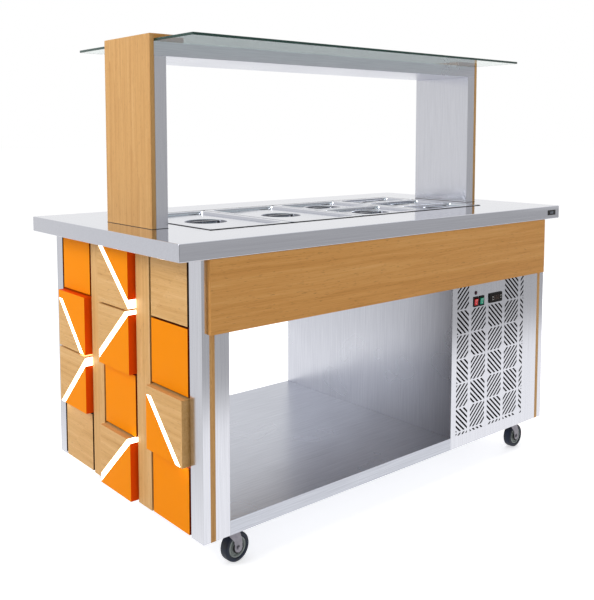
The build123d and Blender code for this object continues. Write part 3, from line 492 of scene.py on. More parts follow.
dressed = {  # node: finish, edge radius in millimetres
    "well_tank": (satinAlongX, 0.5), "tank_insulation": (insulationFoil, 4),
    # The support bars take the dark strap steel: painted shade in the gaps between the pans
    "gn_support_bars": (shadedStrapSteel, 0.8), "heating_element": (elementSheath, 0),
    "corner_posts": (brightUpright, 0.8), "oak_inlays": (oakUpright, 0.6),
    "fascia_front": (oakAlongX, 1.2), "fascia_back": (oakAlongX, 1.2), "base_shelf": (satinAlongX, 0.6),
    "partition": (paleUpright, 0.4), "grille_panel": (brightUpright, 0), "back_panel": (satinUpright, 0.4),
    "control_box": (galvanisedSteel, 0.6), "end_boards": (jointShadeBoard, 0.6),
    "end_oak_strips": (oakStrip, 0.8), "flush_tiles_oak": (oakTileShadedEdges, 0.5),
    "flush_tiles_orange": (orangeTileShadedEdges, 0.5), "raised_prisms_oak": (oakBlock, 0.7),
    "raised_prisms_orange": (orangeBlock, 0.7), "light_bars": (opalAcrylic, 0.8),
    "oak_upright_left": (oakUpright, 1.2), "oak_upright_right": (oakUpright, 1.2),
    "steel_post_left": (brightUpright, 1.2), "steel_post_right": (brightUpright, 1.2),
    "oak_caps": (oakAlongX, 1.0), "beam": (paleAlongX, 1.2),
}
for node, (material, edge) in dressed.items():
    dressNode(node, material, edge)
print("CAD pieces dressed")

# Worktop: one sheet folded down on four sides, with a lip turned down round the cut-out
worktopSize = {
    "halfX": 900, "halfY": 476, "top": 975, "under": 924, "sheet": 2, "skin": 1.8, "fold": 2.8,
    "cornerRadius": 3.2, "endFlange": 135, "sideFlange": 60, "flangeCorner": 0.4, "cutout": (658, 269),
    "cutoutCorner": 1.0, "lip": 1.6, "lipCorner": 3.5,
    "flat": 1}


def makeWorktop(size):
    shape = newShape()
    hx, hy, fold, lip, top = (size[key] for key in ("halfX", "halfY", "fold", "lip", "top"))
    (cx, cy), flangeCorner = size["cutout"], size["flangeCorner"]
    quarter = [(1 - math.sin(a), 1 - math.cos(a)) for a in map(math.radians, (0, 30, 60, 90))]

    def outline(gap, level):
        return hx - gap, hy - gap, size["cornerRadius"] - gap, level

    rows = [(hx - size["endFlange"], hy - size["sideFlange"], flangeCorner, size["under"])]
    rows += [outline(fold * out, size["under"] + fold * up) for out, up in quarter]
    rows += [outline(fold * out, top - fold * down) for down, out in quarter]
    inner, outer = fold + size["flat"], lip + size["flat"]  # where the flat top starts and ends
    rows += [(hx - inner, hy - inner, flangeCorner, top), (cx + outer, cy + outer, size["lipCorner"], top)]
    rows += [(cx + lip * out, cy + lip * out, size["cutoutCorner"] + lip * out, top - lip * down)
             for out, down in quarter]
    rows += [(cx, cy, size["cutoutCorner"], top - size["sheet"])]
    addMoulding(shape, rows)
    makePiece("worktop_sheet", shape, [polishedSteel], stands=("worktop",),
              sheet=size["skin"], sharp=50)


# Black strips as painted shade in the gaps: one in the gap between the cut-out and the pan rims, one round
# each foot of the gantry.
# Outer and inner outline of each as (half width, half depth, corner radius)
shadeStripSize = {
    "well": ((657.9, 268.9, 1.0), (656.4, 265.6, 0.6)), "wellLevels": (973.2, 976.9),
    "foot": ((29.6, 143.6, 2.0), (28.5, 142.5, 1.0)), "footLevels": (974.8, 976.1), "footX": 756.5,
    "soft": 0.5}


def addShadeStrip(shape, outlines, levels, soft, centre=(0, 0)):
    ((ox, oy, outer), (ix, iy, inner)), (low, high) = outlines, levels
    rows = [(ox, oy, outer, low), (ox, oy, outer, high - soft), (ox - soft, oy - soft, outer, high),
            (ix + soft, iy + soft, inner + soft, high), (ix, iy, inner, high - soft), (ix, iy, inner, low)]
    addMoulding(shape, rows, centre, ends="joined")


def makeShadeStrips(size):
    shape = newShape()
    addShadeStrip(shape, size["well"], size["wellLevels"], size["soft"])
    for side in (-1, 1):
        addShadeStrip(shape, size["foot"], size["footLevels"], size["soft"], (side * size["footX"], 0))
    makePiece("silicone_joints", shape, [blackSiliconeAndGapShade], sharp=60)


makeWorktop(worktopSize)
makeShadeStrips(shadeStripSize)
print("worktop done")

# Gastronorm pans and their lids: name, column, pans in the column, place from the front
panPlaces = [("full_left", 0, 1, 0), ("full_right", 1, 1, 0), ("half_front", 2, 2, 0), ("half_back", 2, 2, 1),
             ("third_front", 3, 3, 0), ("third_middle", 3, 3, 1), ("third_back", 3, 3, 2)]
wellSize = {
    "pitch": 329, "rimWidth": 325, "wellWidth": 538, "gap": 4, "rimLevel": 973.3, "lidLevel": 975.6,
    "panSheet": 1.1, "lidSheet": 1.0, "cornerSteps": 7}
# Profiles run from the outer edge to the middle as (distance in from the edge, level, corner radius)
panProfile = [(0.0, 0.3, 15), (0.0, 1.3, 15), (0.5, 1.9, 14.5), (1.2, 2.0, 14), (9.6, 2.0, 24),
              (10.6, 1.9, 26), (11.8, 1.2, 28), (12.5, 0.0, 28.8), (12.7, -2.0, 28.8), (17.2, -88, 26),
              (18.0, -92.5, 25), (20.6, -96.4, 23), (24.5, -98.3, 20), (29.0, -98.8, 17), (32.0, -98.8, 15)]
lidProfile = [(0.0, 0.1, 13.5), (0.0, 0.7, 13.5), (0.35, 1.1, 13.2), (1.0, 1.2, 12.6), (18.0, 1.2, 19),
              (19.6, 1.0, 20.5), (20.8, 0.2, 21.6), (21.4, -1.2, 22), (22.0, -4.4, 21.8), (22.6, -5.8, 21.3),
              (23.8, -6.6, 20.3), (25.4, -6.8, 19)]
# Dish and ladle hole: (distance out from the wall, level)
dishProfile = [(5.0, -6.8), (3.6, -6.8), (1.7, -7.2), (0.4, -8.3), (-0.3, -9.8), (-1.4, -15.8), (-2.4, -18.4),
               (-4.6, -20.2), (-8.0, -20.8), (-20.0, -20.6), (-34.0, -20.4)]
ladleProfile = [(2.6, -6.8), (1.5, -6.8), (0.5, -7.2), (0.0, -8.2), (0.0, -10.2)]
lidSize = {
    "halfX": 161, "inset": 1.5, "dish": 72, "dishBorder": 36, "dishSteps": 64, "dishFloor": -20.8,
    "shadedWallFirst": 3, "shadedWallLast": 7, "ladle": (28, 16, 8), "ladleFromSide": 62, "ladleFromBack": 45,
    "handleInset": 14, "handleWidth": 14, "handleSheet": 4, "handleTop": 19, "handleGap": 0.2,
    "footLength": 15, "bend": 5}


def makePan(name, x, y, rim):
    shape = newShape()
    rows = [(wellSize["rimWidth"] / 2 - e, rim / 2 - e, radius, wellSize["rimLevel"] + z)
            for e, z, radius in panProfile]
    addMoulding(shape, rows, (x, y), wellSize["cornerSteps"], ends="last")
    body = f"pan_{name}"
    makePiece(f"{body}_pressed", shape, [satinAlongX], body, (body,),
              sheet=wellSize["panSheet"])


def makeLid(name, x, y, rim):
    size, level, steps = lidSize, wellSize["lidLevel"], wellSize["cornerSteps"]
    shape = newShape()
    halfY, hx, hy, corner = rim / 2 - size["inset"], *size["ladle"]
    dish = min(size["dish"], rim / 2 - size["dishBorder"])
    ladle = (x + wellSize["rimWidth"] / 2 - size["ladleFromSide"], y + rim / 2 - size["ladleFromBack"])
    brim = [roundedLoop(size["halfX"] - e, halfY - e, radius, level + z, (x, y), steps)
            for e, z, radius in lidProfile]
    bowl = [circleLoop(dish + e, level + z, (x, y), size["dishSteps"]) for e, z in dishProfile]
    hole = [roundedLoop(hx + e, hy + e, corner + e, level + z, ladle) for e, z in ladleProfile]

    brimEdge = addLoft(shape, brim) + (len(brim) - 1) * len(brim[0])
    firstFace = len(shape["faces"])
    bowlEdge = addLoft(shape, bowl, ends="last")
    holeEdge = addLoft(shape, hole)
    starts = ((brimEdge, brim), (bowlEdge, bowl), (holeEdge, hole))
    addFill(shape, [range(start, start + len(rings[0])) for start, rings in starts])
    around = len(bowl[0])
    # The dish's wall faces take the darker steel: painted shade in the hollow
    for i in range(firstFace + size["shadedWallFirst"] * around, firstFace + size["shadedWallLast"] * around):
        shape["tones"][i] = 1
    body = f"lid_{name}"
    makePiece(f"{body}_pressed", shape, [pressedSteel, dishWallShadedSteel], body, (body,),
              sheet=wellSize["lidSheet"])

    handle = newShape()
    foot, half = dish - size["handleInset"], size["handleSheet"] / 2
    low, top = size["dishFloor"] + half + size["handleGap"], size["dishFloor"] + size["handleTop"] - half
    bends = [(foot - size["footLength"], low), (foot - half, low), (foot - half, top)]
    corners = [(-a, b) for a, b in bends] + bends[::-1]
    path = roundedPath([(x + a, y, level + b) for a, b in corners], size["bend"])
    addStrap(handle, path, size["handleWidth"], size["handleSheet"])
    makePiece(f"{body}_handle", handle, [shadedStrapSteel], body)


for name, column, share, number in panPlaces:
    rim = (wellSize["wellWidth"] - wellSize["gap"] * (share + 1)) / share
    x = wellSize["pitch"] * (column - 1.5)
    y = (rim + wellSize["gap"]) * (number - (share - 1) / 2)
    makePan(name, x, y, rim)
    makeLid(name, x, y, rim)
print("pans and lids done")

# Glass of the gantry: sharp corners, ground and chamfered edges
guardSize = {"halfX": 770, "halfY": 353, "low": 1542, "high": 1550, "chamfer": 1.0, "corner": 2}


def makeGuard(size):
    shape = newShape()
    c = size["chamfer"]
    levels = ((c, size["low"]), (0, size["low"] + c), (0, size["high"] - c), (c, size["high"]))
    rings = [roundedLoop(size["halfX"] - e, size["halfY"] - e, size["corner"], z, steps=3) for e, z in levels]
    addLoft(shape, rings, tone=1)
    n = len(rings[0])
    addFaces(shape, rings[0], [tuple(range(n - 1, -1, -1))])
    addFaces(shape, rings[-1], [tuple(range(n))])
    makePiece("sneeze_guard", shape, [glassFace, glassEdge], stands=("glass_guard",), sharp=20)


makeGuard(guardSize)


# Upright faces, to the front with side 1 and to the back with -1: local Z points out of the face.
def uprightFace(side, distance):
    return Matrix(((side, 0, 0, 0), (0, 0, -side, -side * distance), (0, 1, 0, 0), (0, 0, 0, 1)))


facing = uprightFace(1, 0)
frontFace = uprightFace(1, 461)
backFace = uprightFace(-1, 461)
edgeFace = uprightFace(1, 476)

# Pilot lamp: profiles of (radius, level)
lampSize = {
    "place": (386, 680, 0), "steps": 32,
    "ring": [(0.1, -22), (5.2, -22), (5.2, 0), (7.5, 0), (7.5, 0.9), (6.9, 1.5), (5.7, 1.5), (5.5, 1.2)],
    "lens": [(5.5, 1.2), (5.4, 2.2), (4.7, 3.2), (3.4, 3.8), (1.8, 4.0), (0.4, 4.0)]}


def makeLamp(size):
    shape = newShape()
    addTurned(shape, size["ring"], steps=size["steps"])
    addTurned(shape, size["lens"], tone=1, steps=size["steps"])
    makePiece("pilot_lamp_moulded", shape, [blackAbs, unlitLens], stands=("pilot_lamp",),
              matrix=frontFace @ shifted(*size["place"]))


# Twin switch frame, from its hidden cup over the rim into the opening: (half width, corner radius, level)
switchSize = {"xs": {"red": 386, "green": 420}, "z": 647, "taller": 5,
              "profile": [(11.8, 1, -20), (11.8, 1, 0), (14, 2, 0), (14, 2, 2.1), (13.7, 1.8, 2.7),
                          (13.1, 1.4, 3), (10.6, 1.6, 3), (9.7, 1, 2.4), (9.5, 0.8, 1.8), (9.5, 0.8, -11)]}


def makeSwitchFrames(size):
    shape = newShape()
    rows = [(half, half + size["taller"], radius, z) for half, radius, z in size["profile"]]
    for x in size["xs"].values():
        addMoulding(shape, rows, (x, size["z"]), 3, ends="both")
    makePiece("switch_frames_moulded", shape, [blackAbs], stands=("switch_frames",),
              matrix=frontFace)


# Rocker: a block with a hollow face, tilted about its pivot. Its marks, a bar and a ring for on and off, are
# given in the face, with levels measured out from the pivot.
rockerSize = {
    "pivotY": -456, "tilt": 8, "halfWidth": 8.9, "front": 9.5, "hollow": 1.3, "halfFace": 12, "back": 6,
    "halfBack": 7, "faceSteps": 12, "edge": 0.7, "markLow": 8.75, "markHigh": 9.25, "bar": (0.6, 4.2, 8.2),
    "ring": (1.3, 2.1), "ringMiddle": -6.2}


def makeRocker(colour, material, size):
    shape = newShape()
    spots = [2 * i / size["faceSteps"] - 1 for i in range(size["faceSteps"] + 1)]
    face = [(size["hollow"] * (1 - s * s) - size["front"], size["halfFace"] * s) for s in spots]
    outline = [(size["back"], -size["halfBack"]), *face, (size["back"], size["halfBack"])]
    sides = (-size["halfWidth"], size["halfWidth"])
    addLoft(shape, [[(x, y, z) for y, z in outline] for x in sides], ends="both")
    pivot = shifted(switchSize["xs"][colour], size["pivotY"], switchSize["z"])
    place = pivot @ Matrix.Rotation(math.radians(size["tilt"]), 4, "X")
    body = f"rocker_{colour}"
    makePiece(f"{body}_cap", shape, [material], body, (body,), place, edge=size["edge"])

    marks = newShape()
    low, high = size["markLow"], size["markHigh"]
    half, bottom, top = size["bar"]
    corners = ((-half, bottom), (half, bottom), (half, top), (-half, top))
    addLoft(marks, [[(x, y, z) for x, y in corners] for z in (low, high)], ends="both")
    inner, outer = size["ring"]
    addTurned(marks, [(inner, low), (outer, low), (outer, high), (inner, high)], steps=24,
              matrix=shifted(0, size["ringMiddle"], 0), ends="joined")
    makePiece(f"{body}_marks", marks, [whiteInk], body, matrix=place @ facing)


# Thermostat: the bezel's profile as (distance in, corner radius, level); window, keys, marks, dots and digits
# are placed from its middle.
thermostatSize = {
    "place": (503.5, 649, 0), "half": (40, 18.5),
    "profile": [(4.2, 1, -58), (4.2, 1, 0), (0, 4, 0), (0, 4, 2.6), (0.4, 3.6, 3.5), (1.2, 3, 4),
                (3.2, 2, 4), (3.5, 1.8, 3.4)],
    "window": (25, 12, 1.5), "windowLevels": (3.4, 3.7),
    "keyX": 31.5, "keyYs": (9, 0, -9), "key": [(2.9, 3.4), (2.6, 3.8), (1.8, 4.1), (0.6, 4.2)],
    "mark": (2.4, 1.2, 0.5), "markYs": (4.5, -4.5), "markLevels": (3.4, 3.6),
    "dots": ((-18.5, 3.5, 2.3), (-18.5, -6.5, 2.0)), "dotLevels": (3.6, 3.9),
    "level": (2.4, 0.65, 0.4), "upright": (0.65, 2.7, 0.4), "strokeLevels": (3.6, 3.85), "slant": 0.08,
    "strokes": {"A": (0, 7, "level"), "B": (3.2, 3.5, "upright"), "C": (3.2, -3.5, "upright"),
                "D": (0, -7, "level"), "E": (-3.2, -3.5, "upright"), "F": (-3.2, 3.5, "upright"),
                "G": (0, 0, "level")},
    "digits": ((-8, "ACDEFG"), (4, "ACDFG"), (16, "ABCDEF"))}  # a plain number, by its lit strokes


def makeThermostat(size):
    shape = newShape()
    hx, hy = size["half"]
    rows = [(hx - e, hy - e, radius, z) for e, radius, z in size["profile"]]
    addMoulding(shape, rows, steps=4, ends="first")
    film = roundedLoop(*rows[-1], steps=4)
    addFaces(shape, film, [tuple(range(len(film)))], tone=1)

    def addMark(outline, levels, centre=(0, 0), steps=2, tone=2):
        addMoulding(shape, [(*outline, z) for z in levels], centre, steps, tone, "last")

    addMark(size["window"], size["windowLevels"], steps=3, tone=1)
    for y in size["keyYs"]:
        addTurned(shape, size["key"], 1, 20, shifted(size["keyX"], y, 0), "last")
    for y in size["markYs"]:
        addMark(size["mark"], size["markLevels"], (size["keyX"], y))
    for x, y, radius in size["dots"]:
        addTurned(shape, [(radius, z) for z in size["dotLevels"]], 2, 16, shifted(x, y, 0), "last")
    for x, lit in size["digits"]:
        for sx, sy, outline in (size["strokes"][key] for key in lit):
            addMark(size[outline], size["strokeLevels"], (x + sx + sy * size["slant"], sy), tone=3)
    makePiece("thermostat_moulded", shape, [blackAbs, controllerFilm, whiteInk, displaySegments],
              stands=("thermostat",), matrix=frontFace @ shifted(*size["place"]))


makeLamp(lampSize)
makeSwitchFrames(switchSize)
makeRocker("red", redLens, rockerSize)
makeRocker("green", greenLens, rockerSize)
makeThermostat(thermostatSize)
print("controls done")

# Blank plate on the worktop's front edge, with a plain grey inlay: (half width, half height, radius, level)
plateSize = {
    "place": (846, 949.5, 0), "plate": [(27, 10, 2.5, 0), (27, 10, 2.5, 0.4), (26.8, 9.8, 2.3, 0.6)],
    "inlay": [(11, 4.5, 1, 0.5), (11, 4.5, 1, 0.8)]}


def makePlate(size):
    shape = newShape()
    addMoulding(shape, size["plate"], ends="both")
    addMoulding(shape, size["inlay"], tone=1, ends="last")
    makePiece("blank_plate", shape, [blackAnodised, greyAnodised], stands=("badge_plate",),
              matrix=edgeFace @ shifted(*size["place"]))


# Cable gland in the back panel, turned profiles of (radius, level) but for its hexagon nut
glandSize = {
    "place": (-600, 230, 0), "steps": 36,
    "body": [(4.5, -18), (10, -18), (10, 0), (12, 0), (12, 0.8), (4.5, 0.8)],
    "nut": [(12.2, 0.8), (13, 1.4), (13, 4.2), (12, 5)],
    "cap": [(10.4, 5), (10.2, 6.4), (9.2, 7.5), (7.6, 8), (6.2, 8), (5.9, 7.4)],
    "seal": [(5.9, 7.4), (4.7, 7.4), (4.5, 7), (4.5, -18)]}


def makeGland(size):
    shape = newShape()
    steps = size["steps"]
    addTurned(shape, size["body"], steps=steps, ends="joined")
    addTurned(shape, size["nut"], steps=6, ends="open")
    rim, neck = circleLoop(*size["nut"][-1], steps=6), circleLoop(*size["cap"][0], steps=steps)
    start = addFaces(shape, rim + neck, [])
    addFill(shape, [range(start, start + 6), range(start + 6, start + 6 + steps)])
    addTurned(shape, size["cap"], steps=steps, ends="open")
    addTurned(shape, size["seal"], tone=1, steps=steps, ends="open")
    makePiece("cable_gland_moulded", shape, [blackAbs, blackSiliconeAndGapShade],
              stands=("cable_gland",), matrix=backFace @ shifted(*size["place"]))


# Pan head screws round the edge of the back panel
screwSize = {
    "xs": (262, 490, 719), "zs": (178, 545, 912), "middle": (490, 545), "steps": 20,
    "head": [(4.2, 0), (4.2, 0.8), (3.6, 1.5), (2.4, 1.9), (1.5, 1.9), (1.4, 1.2), (0.2, 1.2)]}


def makeScrews(size):
    shape = newShape()
    for x in size["xs"]:
        for z in size["zs"]:
            if (x, z) != size["middle"]:
                addTurned(shape, size["head"], steps=size["steps"], matrix=shifted(-x, z, 0))
    makePiece("back_panel_screws", shape, [brightZinc], matrix=backFace)


makePlate(plateSize)
makeGland(glandSize)
makeScrews(screwSize)

# Drain: pipe down from the tank, rubber collar in the shelf, ball valve. Hexagons: radius, low, high, chamfer
drainSize = {
    "place": (560, 100, 0), "pipe": [(10.5, 78), (12.7, 78), (13.5, 78.8), (13.5, 792.5), (10.5, 792.5)],
    "collar": [(13.5, 154), (18, 154), (19, 155), (19, 159), (18.4, 160), (13.5, 160)],
    "valveEnds": ((20, 298, 314, 1.2), (20, 346, 362, 1.2)), "valveLevel": 330,
    "valve": [(14, -17), (16.4, -12), (17.8, -6), (18, 0), (17.8, 6), (16.4, 12), (14, 17)],
    "stem": [(9, 12), (9, 24), (8, 26), (5, 26), (5, 48)], "stemNut": (7, 45.3, 47.8, 0.6)}
# Lever on the valve's stem: (x, half width, half thickness) along its sleeve
leverSize = {
    "pivot": (560, 143.5, 330), "length": 110, "sheet": 2.8, "farEnd": 9, "nearEnd": 10, "hole": 5.05,
    "endSteps": 12, "holeSteps": 24, "sleeveCorner": 1.8,
    "sleeve": ((-38, 9.8, 2), (-40, 10.8, 3), (-44, 11.2, 3.4), (-70, 11.6, 3.8), (-100, 11.4, 3.6),
        (-114, 9.2, 3.2), (-119, 6.5, 2.2))}


def makeDrain(size):
    shape = newShape()
    addTurned(shape, size["pipe"], ends="joined")
    addTurned(shape, size["collar"], tone=1, ends="joined")
    for hexagon in size["valveEnds"]:
        addHex(shape, hexagon, tone=2)
    middle = shifted(0, 0, size["valveLevel"])
    addTurned(shape, size["valve"], tone=2, matrix=middle)
    stem = middle @ Matrix.Rotation(-math.pi / 2, 4, "X")
    addTurned(shape, size["stem"], tone=2, steps=32, matrix=stem)
    addHex(shape, size["stemNut"], tone=3, matrix=stem)
    makePiece("drain_and_valve", shape, [satinUpright, blackSiliconeAndGapShade, castBrass, brightZinc],
              stands=("drain_valve",), matrix=shifted(*size["place"]))


def makeLever(size):
    shape = newShape()
    half, count = size["sheet"] / 2, size["endSteps"]
    turns = [math.pi * (i / count - 0.5) for i in range(count + 1)]
    outline = [(-size["length"] - size["farEnd"] * math.cos(a), -size["farEnd"] * math.sin(a)) for a in turns]
    outline += [(size["nearEnd"] * math.cos(a), size["nearEnd"] * math.sin(a)) for a in turns]
    rims = [[(x, y, z) for x, y in outline] for z in (-half, half)]
    holes = [circleLoop(size["hole"], z, steps=size["holeSteps"]) for z in (-half, half)]
    for rim, hole, up in zip(rims, holes, (False, True)):
        start = addFaces(shape, [*rim, *hole], [])
        edge = start + len(rim)
        addFill(shape, [range(start, edge), range(edge, edge + len(hole))], up)
    addLoft(shape, rims)
    addLoft(shape, holes[::-1])
    corner = size["sleeveCorner"]
    sleeve = [[(x, q.x, -q.y) for q in roundedLoop(width, thick, corner, 0, steps=4)]
              for x, width, thick in size["sleeve"]]
    addLoft(shape, sleeve, tone=1, ends="both")
    makePiece("drain_lever_sleeved", shape, [brightZinc, redVinyl], body="drain_lever",
              stands=("drain_lever",), matrix=shifted(*size["pivot"]) @ facing)


makeDrain(drainSize)
makeLever(leverSize)
print("drain and gland done")

# Casters: plate and race on the base, a bent yoke, a moulded wheel with a rubber tyre. Turned parts have
# profiles of (radius, level); those of the wheel are half ones, from its side to its middle.
casterSize = {
    "x": 696, "y": 401, "trail": 26, "axle": 45,
    "headings": {"front_left": (-1, -1, 4), "front_right": (1, -1, 3), "back_left": (-1, 1, -12),
        "back_right": (1, 1, 10)},
    "plate": [(39.5, 39.5, 5, 115), (40, 40, 5, 115.5), (40, 40, 5, 117.5), (39.5, 39.5, 5, 118)],
    "race": [(13, 106), (18.6, 106), (20, 107.2), (20, 110), (19.2, 111.2), (20.4, 112.6), (22.4, 114.2),
        (25, 115), (13, 115)], "bolt": 30, "boltWasher": [(0.3, 113.8), (8, 113.8), (8, 115), (0.3, 115)],
    "boltHead": (6.5, 110, 113.9, 0.8), "boltTurns": (0.3, 1.0), "axleTurn": 0.4,
    "cup": [(2, 102.9), (17, 102.9), (21.5, 103.3), (23.6, 104.2), (24, 105), (23.4, 105.7), (2, 105.7)],
    "rivet": [(0.4, 100.8), (3.2, 101), (4.8, 101.9), (5.2, 103.2), (0.4, 103.2)],
    "pin": [(4, -23), (4, 23)], "spacer": [(0.3, 14.5), (18.5, 14.5), (18.5, 17.3), (0.3, 17.3)],
    "axleWasher": [(0.3, 20), (6.8, 20), (6.8, 20.8), (0.3, 20.8)], "axleHead": (5.6, 20.8, 23.8, 0.8),
    "tyre": [(31, -12.6), (32.4, -14.4), (35.5, -15.6), (39.4, -15.6), (42.2, -14.6), (44.2, -12.4),
        (44.9, -9.0), (45, -3.0)],
    "hub": [(4.2, -14.4), (9.4, -14.4), (10.2, -13.8), (10.9, -8.0), (12.2, -6.2), (14.5, -5.6),
        (18.6, -5.6), (19.4, -7.4), (21.6, -7.4), (22.4, -5.6), (25.2, -5.8), (26.8, -7.4), (27.6, -12.2),
        (28.4, -13.2), (30.2, -13.6), (31.0, -13.0)]}
# Yoke: straight legs with round feet up to the shoulder, a share of their height, and flared above it
yokeSize = {
    "legIn": 17.5, "sheet": 2.5, "top": 105.7, "back": -20, "width": 50, "foot": 14.5, "footLow": 0.15,
    "shoulder": 0.35, "bend": 6, "bendSteps": 6, "legSteps": 16, "widthSteps": 6, "edge": 0.5}


def makeYoke(size, trail, axle):
    shape = newShape()
    y, top = size["legIn"] + size["sheet"] / 2, size["top"] - size["sheet"] / 2
    foot = size["foot"]
    low = axle - foot + size["footLow"]
    corners = ((0, -y, low), (0, -y, top), (0, y, top), (0, y, low))
    path = roundedPath(corners, size["bend"], size["bendSteps"])
    points = [path[0]]
    for a, b in zip(path, path[1:]):  # more steps along the legs, for their rounded feet
        steps = size["legSteps"] if abs(b.z - a.z) > foot else 1
        points += [a.lerp(b, i / steps) for i in range(1, steps + 1)]
    rings = []
    for p in points:
        share = ((p.z - axle) / (size["top"] - axle) - size["shoulder"]) / (1 - size["shoulder"])
        share = min(max(share, 0), 1)
        reach = foot if p.z >= axle else math.sqrt(foot ** 2 - (axle - p.z) ** 2)
        back = trail - reach + (size["back"] - trail + reach) * share
        ahead = trail + reach + (size["back"] + size["width"] - trail - reach) * share
        spots = [back + (ahead - back) * k / size["widthSteps"] for k in range(size["widthSteps"] + 1)]
        rings.append([(x, p.y, p.z) for x in spots])
    addLoft(shape, rings, openLoops=True)
    return shape


def addWheelPart(shape, profile, steps):
    addTurned(shape, profile + [(r, -z) for r, z in reversed(profile)], steps=steps, ends="joined")


def makeCaster(corner, sx, sy, heading, size):
    fork, wheel = f"caster_fork_{corner}", f"caster_wheel_{corner}"
    swivel = shifted(sx * size["x"], sy * size["y"], 0)
    turned = swivel @ Matrix.Rotation(math.radians(heading), 4, "Z")
    axleLine = turned @ shifted(size["trail"], 0, size["axle"]) @ facing

    plate = newShape()
    addMoulding(plate, size["plate"], ends="both")
    addTurned(plate, size["race"], ends="joined")
    turnX, turnY = size["boltTurns"]  # the heads were tightened to different angles
    for bx in (-1, 1):
        for by in (-1, 1):
            bolt = shifted(bx * size["bolt"], by * size["bolt"], 0)
            head = bolt @ Matrix.Rotation(turnX * bx + turnY * by, 4, "Z")
            addTurned(plate, size["boltWasher"], tone=1, steps=28, matrix=bolt)
            addHex(plate, size["boltHead"], tone=1, matrix=head)
    makePiece(f"caster_plate_{corner}", plate, [passivatedZinc, brightZinc],
              stands=("caster_plates",), matrix=swivel, sharp=30)

    yoke = makeYoke(yokeSize, size["trail"], size["axle"])
    makePiece(f"caster_yoke_{corner}", yoke, [passivatedZinc], fork, (fork,), turned,
              sheet=yokeSize["sheet"], offset=0, edge=yokeSize["edge"])
    cup = newShape()
    addTurned(cup, size["cup"])
    addTurned(cup, size["rivet"], tone=1)
    makePiece(f"caster_cup_{corner}", cup, [passivatedZinc, brightZinc], fork, matrix=turned)

    axle = newShape()
    addTurned(axle, size["pin"], steps=24)
    for turn in (0, math.pi):  # the black spacer inside each leg, then washer and head outside it
        flip = Matrix.Rotation(turn, 4, "X")
        addTurned(axle, size["spacer"], tone=1, steps=36, matrix=flip)
        addTurned(axle, size["axleWasher"], steps=28, matrix=flip)
        addHex(axle, size["axleHead"], matrix=flip @ Matrix.Rotation(size["axleTurn"], 4, "Z"))
    makePiece(f"caster_axle_{corner}", axle, [passivatedZinc, blackAbs], fork, matrix=axleLine)

    tyre, hub = newShape(), newShape()
    addWheelPart(tyre, size["tyre"], steps=72)
    addWheelPart(hub, size["hub"], steps=60)
    makePiece(f"caster_tyre_{corner}", tyre, [tyreRubber], wheel, (wheel,), axleLine)
    makePiece(f"caster_hub_{corner}", hub, [hubPlastic], wheel, matrix=axleLine)


for corner, (sx, sy, heading) in casterSize["headings"].items():
    makeCaster(corner, sx, sy, heading, casterSize)
print("casters done")

# Floor and light: a white studio. In metal it shows as walls of its own: pale behind, greyer in front, and a
# floor that is white up to "edge" in front of the counter and grey beyond; lamps stay level.
studio = {
    "floorHalf": 60.0, "floorTone": "#F4F4F5", "floorGlow": 0.55, "ambient": 0.5, "edge": -1.7,
    "edgeSoft": 0.25, "nearFloor": 1.0, "farFloor": 0.44, "sideFloor": 0.72, "sideFrom": -1.1,
    "leftWall": 0.72, "rightWall": 0.9, "wallSpan": (-0.2, 0.4),
    "frontShare": 0.5, "frontSpan": (-0.1, -0.5),
    "key": {"place": (-4.6, 1.6, 3.4), "size": 2.6, "power": 130, "mirrored": True},
    "fill": {"place": (4.6, 1.2, 2.6), "size": 2.6, "power": 80, "mirrored": False},
    "top": {"place": (0.4, -0.6, 4.6), "size": 3.6, "power": 60, "mirrored": False}, "aim": (0, 0, 0.7)}


# 1 for what the camera sees, straight or through glass
def seenDirectly(tree, path):
    return addNode(tree, "Math", {"operation": "MAXIMUM"},
                   {0: path.outputs["Is Camera Ray"], 1: path.outputs["Is Transmission Ray"]})


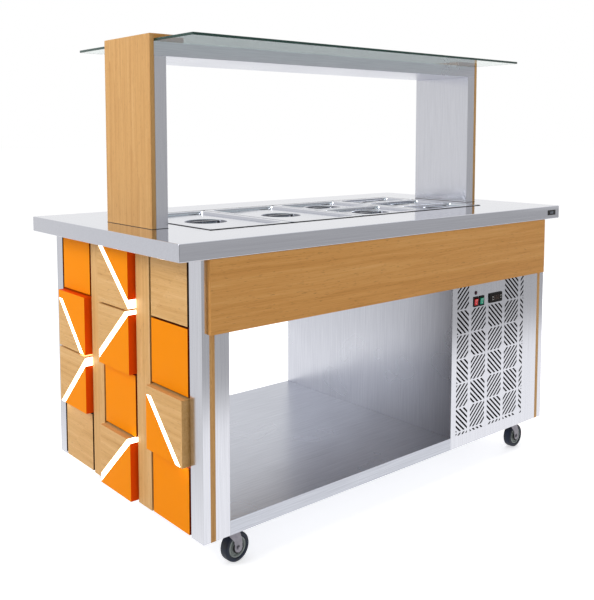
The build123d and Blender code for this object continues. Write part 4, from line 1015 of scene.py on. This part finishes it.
def makeFloor(look):
    mesh = bpy.data.meshes.new("studioFloor")
    h, soft = look["floorHalf"], look["edgeSoft"]
    mesh.from_pydata([(-h, -h, 0), (h, -h, 0), (h, h, 0), (-h, h, 0)], [], [(0, 1, 2, 3)])
    floor = bpy.data.objects.new("studioFloor", mesh)
    bpy.context.scene.collection.objects.link(floor)
    material, tree, shader = newMaterial("studioPaper", {
        "Base Color": linear(look["floorTone"]), "Roughness": 0.9, "Specular IOR Level": 0.1,
        "Emission Color": (1, 1, 1, 1)})
    material.cycles.emission_sampling = "NONE"
    path = addNode(tree, "LightPath")
    glow = addNode(tree, "Math", {"operation": "MULTIPLY", 1: look["floorGlow"]},
                   {0: seenDirectly(tree, path)})
    connect(shader, {"Emission Strength": glow})
    place = addNode(tree, "TexCoord").outputs["Object"]
    parts = addNode(tree, "SeparateXYZ", {}, {"Vector": place})
    ahead = addNode(tree, "MapRange",
                    {"range": (look["edge"] - soft, look["edge"] + soft,
                               look["farFloor"], look["nearFloor"])},
                    {"Value": parts.outputs["Y"]})
    side = addNode(tree, "MapRange",
                   {"range": (look["sideFrom"] - soft, look["sideFrom"] + soft, look["sideFloor"], 1.0)},
                   {"Value": parts.outputs["X"]})
    tone = addNode(tree, "Math", {"operation": "MULTIPLY"}, {0: ahead, 1: side})
    mirrored = addNode(tree, "Emission", {"Color": (1, 1, 1, 1)}, {"Strength": tone})
    mixed = addNode(tree, "MixShader", {}, {0: path.outputs["Is Glossy Ray"], 1: shader, 2: mirrored})
    connect(tree.nodes["Material Output"], {"Surface": mixed})
    mesh.materials.append(material)


def makeWorld(look):
    world = bpy.data.worlds.new("studioWorld")
    bpy.context.scene.world = world
    world.use_nodes = True
    tree = world.node_tree
    tree.nodes.clear()
    path = addNode(tree, "LightPath")
    place = addNode(tree, "TexCoord").outputs["Generated"]
    parts = addNode(tree, "SeparateXYZ", {}, {"Vector": place})
    wall = addNode(tree, "MapRange", {"range": (*look["wallSpan"], look["leftWall"], look["rightWall"])},
                   {"Value": parts.outputs["X"]})
    front = addNode(tree, "MapRange", {"range": (*look["frontSpan"], 1.0, look["frontShare"])},
                    {"Value": parts.outputs["Y"]})
    room = addNode(tree, "Math", {"operation": "MULTIPLY"}, {0: wall, 1: front})
    soft = addNode(tree, "Mix", {"data_type": "FLOAT", "A": look["ambient"]},
                   {"Factor": path.outputs["Is Glossy Ray"], "B": room})
    level = addNode(tree, "Mix", {"data_type": "FLOAT", "B": 1.0},
                    {"Factor": seenDirectly(tree, path), "A": soft})
    back = addNode(tree, "Background", {"Color": (1, 1, 1, 1)}, {"Strength": level})
    addNode(tree, "OutputWorld", {}, {"Surface": back})


def makeLight(name, look, aim):
    data = bpy.data.lights.new(name, "AREA")
    data.shape, data.size, data.energy = "DISK", look["size"], look["power"]
    light = bpy.data.objects.new(name, data)
    bpy.context.scene.collection.objects.link(light)
    light.visible_glossy = light.visible_transmission = look["mirrored"]
    light.location = look["place"]
    light.rotation_euler = (Vector(aim) - Vector(look["place"])).to_track_quat("-Z", "Y").to_euler()


makeFloor(studio)
makeWorld(studio)
for lamp in ("key", "fill", "top"):
    makeLight(lamp + "Light", studio[lamp], studio["aim"])
bpy.context.scene.view_settings.view_transform = "Standard"
print("studio done")
